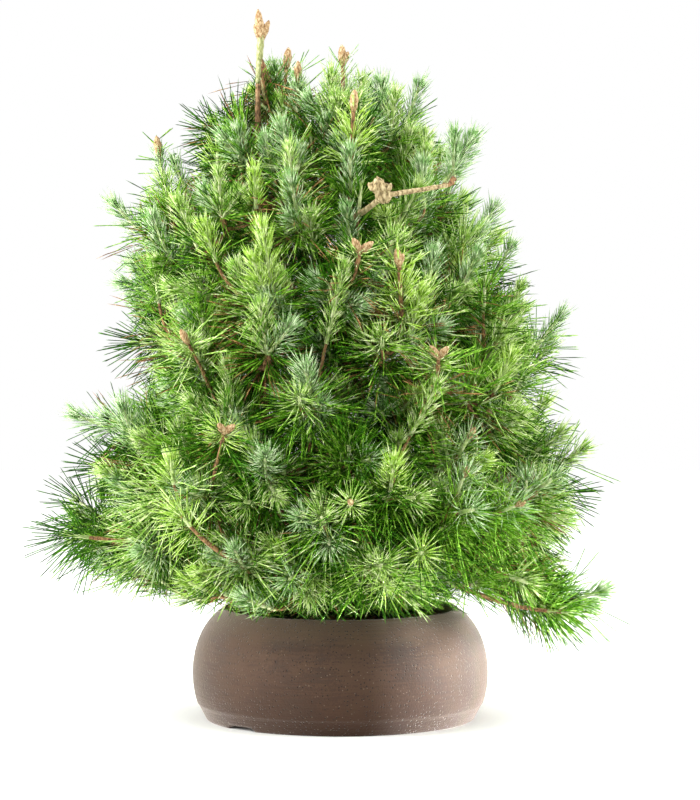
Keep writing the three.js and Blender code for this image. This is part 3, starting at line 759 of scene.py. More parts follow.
def bark_relief(path: np.ndarray, radii: np.ndarray, depth: float) -> np.ndarray:
    """Relief of scaly bark as a share of the limb's radius.

    Args:
        path: Points of the limb's middle line.
        radii: A row of radii for each point, one a side.
        depth: Depth of the deepest crack as a share of the radius.

    Returns:
        One number for each side of each ring, at most depth either way.
    """
    rings, sides = radii.shape
    shares = np.empty((rings, sides))
    run = np.concatenate([[0.0], np.cumsum(np.linalg.norm(np.diff(path, axis=0), axis=1))])
    for i in range(rings):
        for j in range(sides):
            turn = 2 * math.pi * j / sides
            r = radii[i, j]
            spot = Vector((r * math.cos(turn), r * math.sin(turn), 0.42 * run[i])) * 0.3
            plates = noise.voronoi(spot)[0]
            shares[i, j] = min(plates[1] - plates[0], 0.5) - 0.25 + 0.3 * noise.noise(spot * 3.1)
    return depth * 2 * shares


@dataclass
class Border:
    """A flat side of a mass's space."""

    toward: np.ndarray
    reach: float


@dataclass
class Limb:
    """A bough or stem: its middle line and a radius for each point."""

    path: np.ndarray
    radii: np.ndarray


@dataclass
class Boughs:
    """The boughs, one for each needle mass, and the spaces of those masses."""

    outline: Outline
    trunk: Trunk
    places: int = 24
    inset: float = 0.62
    start_turn: float = 0.4
    least_height: float = 108.0
    hang: float = 6.0
    leader_lift: float = 8.0
    least_share: float = 0.55
    most_share: float = 0.92
    share_step: float = 0.03
    entry_depth: float = 6.0
    small_space: float = 0.5
    level_low: float = 100.0
    level_span: float = 300.0
    root_above_foot: float = 24.0
    root_below_tip: float = 22.0
    arch: float = 0.1
    drop_low: float = -0.12
    rise_high: float = 0.85
    thickness: float = 0.5
    taper: float = 0.62
    least_radius: float = 2.3
    relief: float = 0.1
    bare_relief: float = 0.16
    rings: int = 26
    sides: int = 16
    bare_root: float = 322.0
    bare_sag: Point = (2, -80, 328)
    bare_bend: Point = (28, -98, 352)
    bare_tip: Point = (70, -76, 359)
    bare_centre: Point = (82, -66, 381)
    view_ends: Pair = (-14.0, -5.0)
    view_heights: Pair = (-9.0, 16.0)
    view_behind: float = 10.0
    stem_free: float = 402.0
    stem_aside: float = 5.0
    stem_behind: float = 4.0
    stub_lobes: tuple[Point, ...] = ((-0.5, -0.25, 0.85), (0.12, -0.3, 0.95))
    stub_radius: float = 4.4
    stub_length: float = 15.0

    def __post_init__(self) -> None:
        """Works out where each mass sits, its borders and its bough."""
        self.leader = self.places - 1
        self.bare = self.places
        top = self.trunk.point(self.trunk.tip) + self.leader_lift * UP
        tops = [top, np.array(self.bare_centre, float)]
        self.centres = np.array([self.centre(i) for i in range(self.leader)] + tops)
        self.borders = [self.borders_of(own) for own in range(len(self.centres))]
        self.limbs = [None if own == self.leader else self.limb(own) for own in range(len(self.centres))]

    def centre(self, index: int) -> np.ndarray:
        """Where a mass sits: part of the way from the trunk to the crown's surface.

        Args:
            index: Number of the mass.

        Returns:
            The point.
        """
        place = self.outline.place(index, self.places, self.start_turn)
        height = max(place.height - self.hang, self.least_height)
        inner = self.trunk.point(min(height, self.trunk.tip))
        return inner + self.inset * (around(place.reach, place.turn, height) - inner)

    def room(self, own: int) -> float:
        """The weight of a mass's space: the leader and the bare branch take less."""
        return self.small_space if own >= self.leader else 1.0

    def borders_of(self, own: int) -> list[Border]:
        """The flat sides of a mass's space, one toward every other mass.

        Args:
            own: Number of the mass.

        Returns:
            The sides.
        """
        sides = []
        for other, centre in enumerate(self.centres):
            if other != own:
                way = centre - self.centres[own]
                share = self.room(own) / (self.room(own) + self.room(other))
                toward = unit(way)
                sides.append(Border(toward, toward @ self.centres[own] + share * np.linalg.norm(way)))
        return sides

    def depth(self, point: np.ndarray, own: int) -> float:
        """How deep a point lies in a mass's space."""
        return min(side.reach - side.toward @ point for side in self.borders[own])

    def veils(self, points: np.ndarray) -> np.ndarray:
        """Whether each point would hide the bare branch or the trunk's top, which stand free in front.

        Args:
            points: One point in each row.

        Returns:
            True for each point in the way.
        """
        bend, tip = np.array(self.bare_bend), np.array(self.bare_tip)
        line = [np.interp(points[:, 0], (bend[0], tip[0]), (bend[k], tip[k])) for k in (1, 2)]
        left, right = self.view_ends
        low, high = self.view_heights
        above = points[:, 2] - line[1]
        branch = (points[:, 0] > bend[0] + left) & (points[:, 0] < tip[0] + right)
        branch &= (above > low) & (above < high) & (points[:, 1] < line[0] + self.view_behind)
        top = self.trunk.point(self.trunk.tip)
        stem = (np.abs(points[:, 0] - top[0]) < self.stem_aside) & (points[:, 2] > self.stem_free)
        return branch | (stem & (points[:, 1] < top[1] + self.stem_behind))

    def limb(self, own: int) -> Limb:
        """The line of a bough from the trunk's axis to where it enters its mass.

        Args:
            own: Number of the mass.

        Returns:
            The bough.
        """
        if own == self.bare:
            bend = np.array(self.bare_bend, float)
            root = self.trunk.point(self.bare_root)
            rising = bezier(root, np.array(self.bare_sag, float), bend, self.rings)
            tip = np.array(self.bare_tip, float)
            path = np.concatenate([rising, bend + np.linspace(0, 1, self.rings)[1:, None] * (tip - bend)])
        else:
            path = self.bough_path(own)
        foot = max(self.least_radius, self.thickness * self.trunk.radius(path[0, 2]))
        return Limb(path, foot * np.linspace(1, self.taper, len(path)))

    def bough_path(self, own: int) -> np.ndarray:
        """Points of a common bough, which droops low in the crown and rises high in it.

        Args:
            own: Number of the mass.

        Returns:
            One point in each row.
        """
        centre = self.centres[own]
        out = float(np.linalg.norm(centre - self.trunk.point(centre[2])))
        level = min(max((centre[2] - self.level_low) / self.level_span, 0), 1)
        rise = (self.drop_low + (self.rise_high - self.drop_low) * level) * out
        lowest = self.trunk.foot + self.root_above_foot
        root = self.trunk.point(min(max(centre[2] - rise, lowest), self.trunk.tip - self.root_below_tip))
        share = self.least_share
        while self.depth(root + share * (centre - root), own) < self.entry_depth and share < self.most_share:
            share += self.share_step
        tip = root + share * (centre - root)
        control = 0.5 * (root + tip) + self.arch * out * (1 - 2 * level) * UP
        return bezier(root, control, tip, self.rings)

    def build(self) -> list[Object]:
        """Makes all boughs with relief in their bark, and the bare branch with its healed stub.

        Returns:
            The dressed pieces.
        """
        common = Soup()
        for own, limb in enumerate(self.limbs):
            if limb is not None and own != self.bare:
                common.add(*self.barked(limb, self.relief))
        boughs = common.piece("boughs_bark")
        dress(boughs, BARK.material(), [f"bough_{own + 1:02d}" for own in range(self.leader)])
        bare = Soup()
        bare.add(*self.barked(self.limbs[self.bare], self.bare_relief))
        for lobe in range(len(self.stub_lobes)):
            bare.add(*self.stub(lobe))
        branch = bare.piece("bare_branch_wood")
        dress(branch, BARE_WOOD.material(), ["bough_bare_branch"])
        return [boughs, branch]

    def barked(self, limb: Limb, depth: float) -> Shape:
        """Corners and triangles of a limb with relief of that depth in its bark."""
        radii = np.repeat(limb.radii[:, None], self.sides, axis=1)
        return tube(limb.path, radii * (1 + bark_relief(limb.path, radii, depth)), self.sides)

    def stub(self, lobe: int) -> Shape:
        """A lobe of the broken stub: a knobbly peg with a ragged edge round a hollow end.

        Args:
            lobe: Number of the lobe.

        Returns:
            Corners and triangles.
        """
        along = unit(np.array(self.stub_lobes[lobe]))
        # Two swellings along the peg, then an edge that turns in to a hollow end.
        t = np.array([0.0, 0.15, 0.3, 0.42, 0.55, 0.68, 0.8, 0.9, 1.0, 1.0, 0.86])
        wide = np.array([0.8, 0.95, 1.08, 0.9, 0.8, 0.92, 1.1, 1.0, 0.8, 0.62, 0.3])
        path = np.array(self.bare_bend) + ((1 - 0.2 * lobe) * t * self.stub_length - 4)[:, None] * along
        angle = turns(self.sides)
        knob = 1 + 0.14 * np.cos(2 * angle + lobe) + 0.1 * np.cos(5 * angle + 1.3 + 4 * t[:, None])
        path[8:] += np.outer((0, 0.02, 0.05), along)
        points, triangles = tube(path, self.stub_radius * wide[:, None] * knob, self.sides)
        ragged = 1.6 * np.sin(3 * angle + 2 * lobe) + 0.9 * np.sin(7 * angle)
        points[7 * self.sides:9 * self.sides] += np.tile(np.outer(ragged, along), (2, 1))
        return points, triangles


class Kind(Enum):
    """What a shoot carries."""

    CANDLE = "a long new candle above a star of old needles"
    BRUSH = "long needles that lean forward"
    ROSETTE = "a short new tuft in a star of old needles"
    SPRIG = "a candle without old needles"


@dataclass
class Shoot:
    """One shoot: its tip, direction and vigour, which sets how long its needles are.

    A fine shoot is one that the solids don't have. A bare one shows its woody twig, without old needles.
    """

    tip: np.ndarray
    along: np.ndarray
    vigour: float = 1.0
    length: float = 38.0
    fine: bool = False
    kind: Kind | None = None
    tint: Tint | None = None
    buds: int = 0
    bare: bool = False
    own: int | None = None
    twig: np.ndarray | None = None

    @property
    def foot(self) -> np.ndarray:
        """Where the shoot leaves its twig."""
        return self.tip - self.length * self.along


def shoot_at(tip: Point, along: Point, kind: Kind, **traits: float | bool | Tint) -> Shoot:
    """A shoot with a place of its own, and any other traits by name."""
    return Shoot(np.array(tip, float), unit(np.array(along, float)), kind=kind, **traits)


@dataclass
class Growth:
    """All shoots with their twigs: those of the solids, and the finer ones that branch from their twigs."""

    outline: Outline
    boughs: Boughs
    seed: int = 1000
    count: int = 114
    start_turn: float = 2.1
    inset: float = 7.0
    reach_scatter: float = 8.0
    lift_low: float = math.radians(4)
    lift_high: float = math.radians(78)
    lift_scatter: float = math.radians(16)
    turn_scatter: float = math.radians(18)
    mouth_turns: tuple[float, ...] = (-0.55, 0.05, 0.6)
    mouth_reach: float = 122.0
    mouth_height: float = 99.0
    mouth_lift: float = -0.05
    mouth_vigour: float = 0.7
    core_radius: float = 2.8
    space_gap: float = 0.5
    stem_overrun: float = 0.3
    twig_setback: float = 0.75
    leader_top: float = 460.0
    leader_radii: Point = (1.8, 2.15, 2.5)
    leader_room: float = 17.0
    leader_clear: float = 426.0
    fine_seed: int = 5000
    fine_count: int = 250
    fine_start_turn: float = 0.9
    fine_length: float = 34.0
    fine_inset: float = 9.0
    fine_depth: float = 30.0
    fine_scatter: float = 13.0
    fine_floor: float = 87.0
    lobe_depth: float = 7.0
    lobe_size: float = 62.0
    fine_back: float = 22.0
    bare_back: float = 45.0
    side_seed: int = 9000
    side_count: int = 2
    side_lean: Pair = (math.radians(36), math.radians(60))
    filler_seed: int = 7000
    filler_count: int = 34
    filler_reach: float = 70.0
    filler_height: float = 82.0
    mouth_edge: float = 80.0

    def shoots(self) -> list[Shoot]:
        """Grows every shoot and its twig.

        Returns:
            The shoots of the solids, then the finer ones.
        """
        main = []
        for shoot in self.spread() + self.over_mouth():
            main.append(self.settled(shoot, self.space_of(shoot, self.boughs.bare)))
        for shoot in self.single():
            main.append(self.settled(shoot, self.space_of(shoot, len(self.boughs.centres))))
        knots = np.concatenate([shoot.twig[3:] for shoot in main])
        over_soil = knots[np.hypot(knots[:, 0], knots[:, 1]) < self.filler_reach]
        finer = [shoot for shoot in self.beside(main) + self.finer() if self.has_room(shoot)]
        for shoot in finer + self.showy() + self.in_mouth():
            low = shoot.foot[2] < self.fine_floor and math.hypot(*shoot.foot[:2]) < self.mouth_edge
            main.append(self.branched(shoot, over_soil if low else knots))
        return main

    def spread(self) -> list[Shoot]:
        """Shoots spread evenly over the crown, drawn in where it is hollow.

        Returns:
            The shoots, without twigs.
        """
        found = []
        for k in range(self.count):
            draw = random_from(self.seed + k)
            place = self.outline.place(k, self.count, self.start_turn)
            reach = place.reach - self.inset + self.reach_scatter * swing(draw)
            reach -= self.outline.hollow(place.height, place.turn)
            turn = place.turn + self.turn_scatter * swing(draw)
            rising = self.lift_low + (self.lift_high - self.lift_low) * place.share ** 0.9
            lift = rising + self.lift_scatter * swing(draw)
            tip = around(reach, place.turn, place.height)
            found.append(Shoot(tip, around(math.cos(lift), turn, math.sin(lift))))
        return found

    def over_mouth(self) -> list[Shoot]:
        """Low shoots that close the crown over the bowl's mouth, in front and behind.

        Returns:
            The shoots, without twigs.
        """
        found = []
        for side in (-1, 1):
            for aside in self.mouth_turns:
                turn = side * (math.pi / 2 + aside)
                along = unit(around(1, turn, self.mouth_lift))
                tip = around(self.mouth_reach, turn, self.mouth_height)
                found.append(Shoot(tip, along, self.mouth_vigour))
        return found

    def single(self) -> list[Shoot]:
        """Shoots of the solids with a place of their own: low tips, beside the leader, on the bare branch.

        Returns:
            The shoots, without twigs.
        """
        return [
            # The brushes at the crown's edges are dealt the darkest green: painted shade for needles seen
            # against the light.
            shoot_at((-198, -14, 132), (-1, -0.05, 0.04), Kind.BRUSH, tint=Tint.DEEP, vigour=0.6),
            shoot_at((-186, -40, 112), (-0.95, -0.25, -0.2), Kind.BRUSH, tint=Tint.DEEP, vigour=0.55),
            shoot_at((174, -10, 76), (1, -0.05, -0.12), Kind.CANDLE, tint=Tint.BLUE),
            shoot_at((158, -36, 70), (0.9, -0.3, -0.35), Kind.BRUSH, tint=Tint.DEEP),
            shoot_at((-64, -8, 449), (-0.25, -0.1, 1), Kind.BRUSH, tint=Tint.DEEP, vigour=0.5),
            shoot_at((-44, 6, 456), (0.22, 0.1, 1), Kind.BRUSH, vigour=0.4),
            shoot_at((75, -68, 403), (0.02, 0, 1), Kind.SPRIG, tint=Tint.BLUE),
            shoot_at((87, -62, 391), (0.5, 0.1, 0.8), Kind.SPRIG, tint=Tint.BLUE),
        ]

    def showy(self) -> list[Shoot]:
        """Finer shoots that catch the eye: pale candles and tufts, budded shoots and bare twigs.

        Returns:
            The shoots, without twigs.
        """
        candle, brush, rosette = Kind.CANDLE, Kind.BRUSH, Kind.ROSETTE
        lime, fresh, blue, deep = Tint.LIME, Tint.FRESH, Tint.BLUE, Tint.DEEP
        # The brushes at the crown's edges are dealt the darkest green: painted shade for needles seen against
        # the light.
        rows = [
            shoot_at((-51, -124, 339), (-0.16, -0.3, 0.94), candle, length=60, tint=lime),
            shoot_at((-59, -122, 319), (-0.35, -0.3, 0.88), candle, length=36, tint=lime),
            shoot_at((-33, -95, 393), (-0.04, -0.2, 0.98), candle, length=44, tint=fresh),
            shoot_at((-56, -96, 379), (-0.05, -0.2, 0.98), candle, length=36, tint=lime),
            shoot_at((-106, -82, 350), (-0.38, -0.2, 0.9), candle, length=36, tint=fresh),
            shoot_at((-89, -102, 337), (-0.3, -0.25, 0.92), candle, length=30, tint=lime),
            shoot_at((-118, -86, 294), (-0.96, -0.2, 0.16), candle, length=36, tint=fresh),
            shoot_at((-109, -130, 194), (-0.1, -0.3, 0.95), candle, length=28, tint=lime),
            shoot_at((-112, -140, 162), (-0.6, -0.3, 0.75), brush, length=28, tint=lime, vigour=0.7,
                     bare=True),
            shoot_at((114, -88, 254), (0.4, -0.25, 0.88), candle, length=34, tint=lime),
            shoot_at((5, -132, 316), (0.22, -0.25, 0.94), candle, length=62, tint=fresh),
            shoot_at((66, -132, 238), (0.45, -0.25, 0.85), candle, length=46, tint=fresh),
            shoot_at((-26, -146, 226), (-0.05, -0.9, 0.4), rosette, length=26, tint=fresh),
            shoot_at((7, -168, 160), (0, -0.95, 0.25), rosette, length=26, tint=fresh),
            shoot_at((27, -166, 121), (0.05, -0.95, 0.2), rosette, length=26, tint=fresh),
            shoot_at((29, -160, 105), (0.05, -0.9, 0), rosette, length=26, tint=lime, vigour=0.8),
            shoot_at((54, -158, 128), (0.2, -0.95, 0.2), rosette, length=26, tint=lime),
            shoot_at((88, -138, 153), (0.6, -0.75, 0.2), rosette, length=26, tint=blue),
            shoot_at((-18, -140, 99), (-0.05, -0.95, 0.1), rosette, length=26, tint=fresh, vigour=0.75),
            shoot_at((2, -13, 441), (0.02, -0.05, 1), brush, length=40, tint=blue, vigour=0.7, buds=3),
            shoot_at((9, -72, 409), (0.05, -0.2, 0.98), brush, length=34, tint=lime, vigour=0.75, buds=1),
            shoot_at((-123, -8, 391), (-0.15, -0.1, 0.98), candle, length=36, tint=blue, vigour=0.6, buds=1),
            shoot_at((13, -126, 316), (0.2, -0.35, 0.9), rosette, length=14, buds=2),
            shoot_at((63, -128, 249), (0.05, -0.3, 0.95), rosette, length=14, buds=2),
            shoot_at((38, -122, 308), (-0.05, -0.3, 0.95), brush, length=36, tint=lime, vigour=0.9, buds=3),
            shoot_at((-73, -142, 202), (0.2, -0.6, 0.75), rosette, length=14, buds=2),
            shoot_at((-98, -108, 258), (-0.4, -0.4, 0.8), rosette, length=14, buds=1),
            shoot_at((-60, -44, 83), (0.35, -0.35, 0.87), brush, length=14, tint=lime, vigour=0.7),
            shoot_at((-36, 2, 440), (0.1, 0, 1), brush, length=30, tint=blue, vigour=0.5, buds=1),
            shoot_at((-102, -5, 411), (-0.7, 0, 0.6), brush, length=34, tint=deep, vigour=1.05),
            shoot_at((56, 0, 434), (0.35, 0, 0.94), candle, length=44, tint=blue),
            shoot_at((-28, -22, 439), (0.02, -0.1, 1), candle, length=56, tint=blue, buds=1),
            shoot_at((27, -12, 433), (-0.05, -0.1, 1), candle, length=46, tint=blue),
            shoot_at((38, -24, 430), (0.12, -0.1, 1), candle, length=42, tint=fresh),
            shoot_at((-157, 0, 352), (-0.7, 0, 0.7), candle, length=36, tint=blue),
            shoot_at((-152, 5, 295), (-0.95, 0, 0.2), candle, length=32),
            shoot_at((-154, -5, 256), (-1, 0, 0.1), brush, length=32, tint=deep),
            shoot_at((-183, -10, 208), (-0.93, -0.1, 0.35), candle, length=36, tint=blue),
            shoot_at((-192, -10, 159), (-0.8, -0.05, 0.6), brush, length=34, tint=deep),
            shoot_at((-178, 0, 176), (-0.9, 0, 0.3), brush, length=34, tint=deep),
            shoot_at((107, -5, 350), (0.5, 0, 0.85), candle, length=34, tint=blue),
            shoot_at((119, 0, 326), (0.5, 0, 0.85), candle, length=34),
            shoot_at((154, 0, 279), (0.6, 0, 0.75), candle, length=38, tint=blue),
            shoot_at((172, 0, 187), (0.85, 0, 0.5), candle, length=34),
            shoot_at((166, 0, 153), (1, 0, 0.1), brush, length=32, tint=deep),
            shoot_at((180, -14, 88), (0.95, 0, 0.25), candle, length=36, tint=blue),
            shoot_at((138, -20, 66), (0.5, -0.1, -0.85), brush, length=30, tint=deep),
            shoot_at((-190, -72, 131), (-0.93, -0.3, 0.12), brush, length=26, tint=deep, bare=True),
            shoot_at((162, -72, 78), (0.97, -0.2, -0.06), brush, length=26, vigour=0.75, bare=True),
        ]
        for shoot in rows:
            shoot.fine = True
        return rows

    def space_of(self, shoot: Shoot, masses: int) -> int:
        """The mass, of the first ones, whose space holds most of a shoot.

        Args:
            shoot: The shoot.
            masses: How many masses are tried.

        Returns:
            Number of the mass.
        """
        depths = [min(self.boughs.depth(shoot.tip, own), self.boughs.depth(shoot.foot, own))
                  for own in range(masses)]
        return int(np.argmax(depths))

    def settled(self, shoot: Shoot, own: int) -> Shoot:
        """Moves a shoot into the space of its mass and grows its twig from the mass's stem.

        Args:
            shoot: The shoot.
            own: Number of the mass.

        Returns:
            The shoot in its place, with its twig.
        """
        move = np.zeros(3)
        for _ in range(8):
            for side in self.boughs.borders[own]:
                for end in (shoot.tip, shoot.foot):
                    over = side.toward @ (end + move) + self.core_radius + 2 * self.space_gap - side.reach
                    if over > 0:
                        move -= over * side.toward
        shoot.tip = shoot.tip + move
        shoot.own = own
        start, end = self.stem(own).path[1:]
        axis = unit(end - start)
        ahead = float((shoot.foot - start) @ axis)
        aside = float(np.linalg.norm(shoot.foot - start - ahead * axis))
        span = float(np.linalg.norm(end - start))
        leaves = start + axis * min(max(ahead - self.twig_setback * aside, 0.04 * span), 0.96 * span)
        bend = 0.45 * float(np.linalg.norm(shoot.foot - leaves))
        shoot.twig = bezier(leaves, shoot.foot - bend * shoot.along, shoot.foot, 9)
        return shoot

    def stem(self, own: int) -> Limb:
        """The stem of a mass: it carries its bough on, past the mass's centre.

        Args:
            own: Number of the mass.

        Returns:
            The stem.
        """
        if own == self.boughs.leader:
            start = self.boughs.trunk.point(self.boughs.trunk.tip)
            end = np.array([start[0] + 2, start[1], self.leader_top])
            return Limb(np.array([start, 0.5 * (start + end), end]), np.array(self.leader_radii))
        limb = self.boughs.limbs[own]
        tip = limb.path[-1]
        straight = tip + 4 * unit(tip - limb.path[-2])
        end = self.boughs.centres[own] + self.stem_overrun * (self.boughs.centres[own] - tip)
        return Limb(np.array([tip, straight, end]), np.array([limb.radii[-1], limb.radii[-1], 1.7]))

    def surface(self, height: float, turn: float) -> float:
        """How far finer shoots reach: within the outline, drawn in by hollows and uneven lobes.

        Args:
            height: Height in millimetres.
            turn: Direction round the bowl's axis.

        Returns:
            Distance from the axis.
        """
        spot = Vector(around(150, turn, height)) / self.lobe_size
        lobe = self.lobe_depth * noise.noise(spot)
        return self.outline.reach(height, turn) - self.outline.hollow(height, turn) - self.fine_inset + lobe

    def has_room(self, shoot: Shoot) -> bool:
        """Whether a finer shoot keeps to the crown and leaves the leader and the bare branch in view.

        Args:
            shoot: The shoot.

        Returns:
            True if it may stay.
        """
        x, y, z = shoot.tip
        if self.boughs.veils(np.array([shoot.tip, shoot.foot])).any():
            return False
        aside = shoot.tip - self.boughs.centres[self.boughs.leader]
        if z > self.leader_clear and math.hypot(aside[0], aside[1]) < self.leader_room:
            return False
        inside = math.hypot(x, y) < self.surface(z, math.atan2(y, x)) + 4
        return inside and self.fine_floor < z < self.outline.heights[-1]

    def finer(self) -> list[Shoot]:
        """Finer shoots spread over the crown, some way into it.

        Returns:
            The shoots, without twigs.
        """
        found = []
        for k in range(self.fine_count):
            draw = random_from(self.fine_seed + k)
            place = self.outline.place(k, self.fine_count, self.fine_start_turn)
            height = place.height + self.fine_scatter * swing(draw)
            turn = place.turn + self.fine_scatter / max(place.reach, 40) * swing(draw)
            reach = self.surface(height, turn) - self.fine_depth * draw() ** 1.5
            facing = turn + 0.5 * swing(draw)
            rising = self.lift_low + (self.lift_high - self.lift_low) * place.share ** 0.8
            lift = rising + 0.45 * (2 * draw() - 0.9)
            length = self.fine_length * (0.75 + 0.5 * draw()) * (1 + 0.3 * place.share)
            along = around(math.cos(lift), facing, math.sin(lift))
            found.append(Shoot(around(reach, turn, height), along, 0.8 + 0.25 * draw(), length, fine=True))
        return found

    def beside(self, main: list[Shoot]) -> list[Shoot]:
        """Side shoots in a whorl round the foot of each main one.

        Args:
            main: The shoots of the solids.

        Returns:
            The shoots, without twigs.
        """
        found = []
        for k, parent in enumerate(main):
            draw = random_from(self.side_seed + k)
            first, second = across(parent.along)
            start = 2 * math.pi * draw()
            for i in range(self.side_count):
                turn = start + 2 * math.pi * i / self.side_count + 0.6 * swing(draw)
                lean = self.side_lean[0] + (self.side_lean[1] - self.side_lean[0]) * draw()
                out = math.cos(turn) * first + math.sin(turn) * second
                along = unit(math.cos(lean) * parent.along + math.sin(lean) * out + 0.12 * UP)
                length = self.fine_length * (0.7 + 0.4 * draw())
                tip = parent.foot - 8 * draw() * parent.along + length * along
                found.append(Shoot(tip, along, 0.75 + 0.25 * draw(), length, fine=True))
        return found

    def in_mouth(self) -> list[Shoot]:
        """Small low shoots that fill the bowl's mouth down to the soil.

        Returns:
            The shoots, without twigs.
        """
        found = []
        for k in range(self.filler_count):
            draw = random_from(self.filler_seed + k)
            turn = k * GOLDEN_ANGLE
            reach = self.filler_reach * math.sqrt((k + 8) / (self.filler_count + 8))
            lift = 0.15 + 0.5 * draw()
            along = around(math.cos(lift), turn, math.sin(lift))
            tip = around(reach, turn, self.filler_height + 12 * draw())
            kind = Kind.ROSETTE if draw() < 0.6 else Kind.BRUSH
            found.append(Shoot(tip, along, 0.55 + 0.15 * draw(), 20.0, fine=True, kind=kind))
        return found

    def branched(self, shoot: Shoot, knots: np.ndarray) -> Shoot:
        """Grows the twig of a finer shoot from the nearest knot of a main twig.

        Args:
            shoot: The finer shoot.
            knots: Points of the main twigs where one may branch.

        Returns:
            The same shoot, with its twig.
        """
        wanted = shoot.foot - (self.bare_back if shoot.bare else self.fine_back) * shoot.along
        start = knots[np.argmin(np.linalg.norm(knots - wanted, axis=1))]
        bend = 0.4 * float(np.linalg.norm(shoot.foot - start))
        shoot.twig = bezier(start, shoot.foot - bend * shoot.along, shoot.foot, 7)
        return shoot


# Foliage


@dataclass
class NeedleSet:
    """Needles of one spray as arrays: where each starts, where it points, its size and how it bends."""

    roots: np.ndarray
    ways: np.ndarray
    lengths: np.ndarray
    widths: np.ndarray
    bends: np.ndarray

    def ends(self, share: float) -> np.ndarray:
        """Points at a share of each needle's length."""
        return self.roots + self.lengths[:, None] * (share * self.ways + share * share * self.bends)

    def kept(self, keep: np.ndarray) -> "NeedleSet":
        """Those needles for which keep is true."""
        arrays = (self.roots, self.ways, self.lengths, self.widths, self.bends)
        return NeedleSet(*(array[keep] for array in arrays))

    def shape(self, rings: tuple[float, ...], thin: tuple[float, ...]) -> Shape:
        """Three-sided needles that come to a point at both ends.

        Args:
            rings: Shares of the length at which a needle has a ring of corners.
            thin: Its width at each of them, as a share of the full width.

        Returns:
            Corners and triangles of all needles.
        """
        first, second = across(self.ways)
        corners = []
        for share, width in zip(rings, thin):
            for k in range(3):
                turn = 2 * math.pi * k / 3
                spoke = math.cos(turn) * first + math.sin(turn) * second
                corners.append(self.ends(share) + (0.5 * width * self.widths)[:, None] * spoke)
        root, tip = len(corners), len(corners) + 1
        corners += [self.roots, self.ends(1.0)]
        faces = [(root, (k + 1) % 3, k) for k in range(3)]
        for ring in range(0, root - 3, 3):
            for k in range(3):
                a, b = ring + k, ring + (k + 1) % 3
                faces += [(a, b, a + 3), (b, b + 3, a + 3)]
        faces += [(root - 3 + k, root - 3 + (k + 1) % 3, tip) for k in range(3)]
        points = np.stack(corners, axis=1)
        starts = np.arange(len(points))[:, None, None] * points.shape[1]
        return points.reshape(-1, 3), (np.array(faces)[None] + starts).reshape(-1, 3)


@dataclass
class Spray:
    """How needles stand on an axis: angles in degrees and lengths in millimetres, at its foot and its tip."""

    pairs: int
    spread: Pair
    length: Pair
    width: float
    forward: float = 0.0
    droop: float = 0.0
    fork: float = 8.0
    plain: bool = False


# Colours that a shoot is dealt, each with the random number up to which it is dealt.
OLD_TINTS = ((Tint.DRY, 0.2), (Tint.MID, 0.38), (Tint.DEEP, 1.0))
BRUSH_TINTS = ((Tint.DEEP, 0.26), (Tint.MID, 0.72), (Tint.FRESH, 1.0))
TUFT_TINTS = ((Tint.FRESH, 0.85), (Tint.LIME, 1.0))
ROSETTE_TINTS = ((Tint.FRESH, 0.6), (Tint.LIME, 0.76), (Tint.BLUE, 1.0))

# How far each bud of a cluster leans aside, and its size, by the number of buds.
BUD_LEANS = {
    1: ((0.0, 1.0),),
    2: ((-0.75, 1.0), (0.9, 0.95)),
    3: ((-0.1, 1.0), (0.42, 0.7), (-0.45, 0.55)),
}


def dealt(deal: float, *hands: tuple[Tint, float]) -> Tint:
    """The first colour whose number is above the one that was drawn."""
    return next(tint for tint, limit in hands if deal < limit)


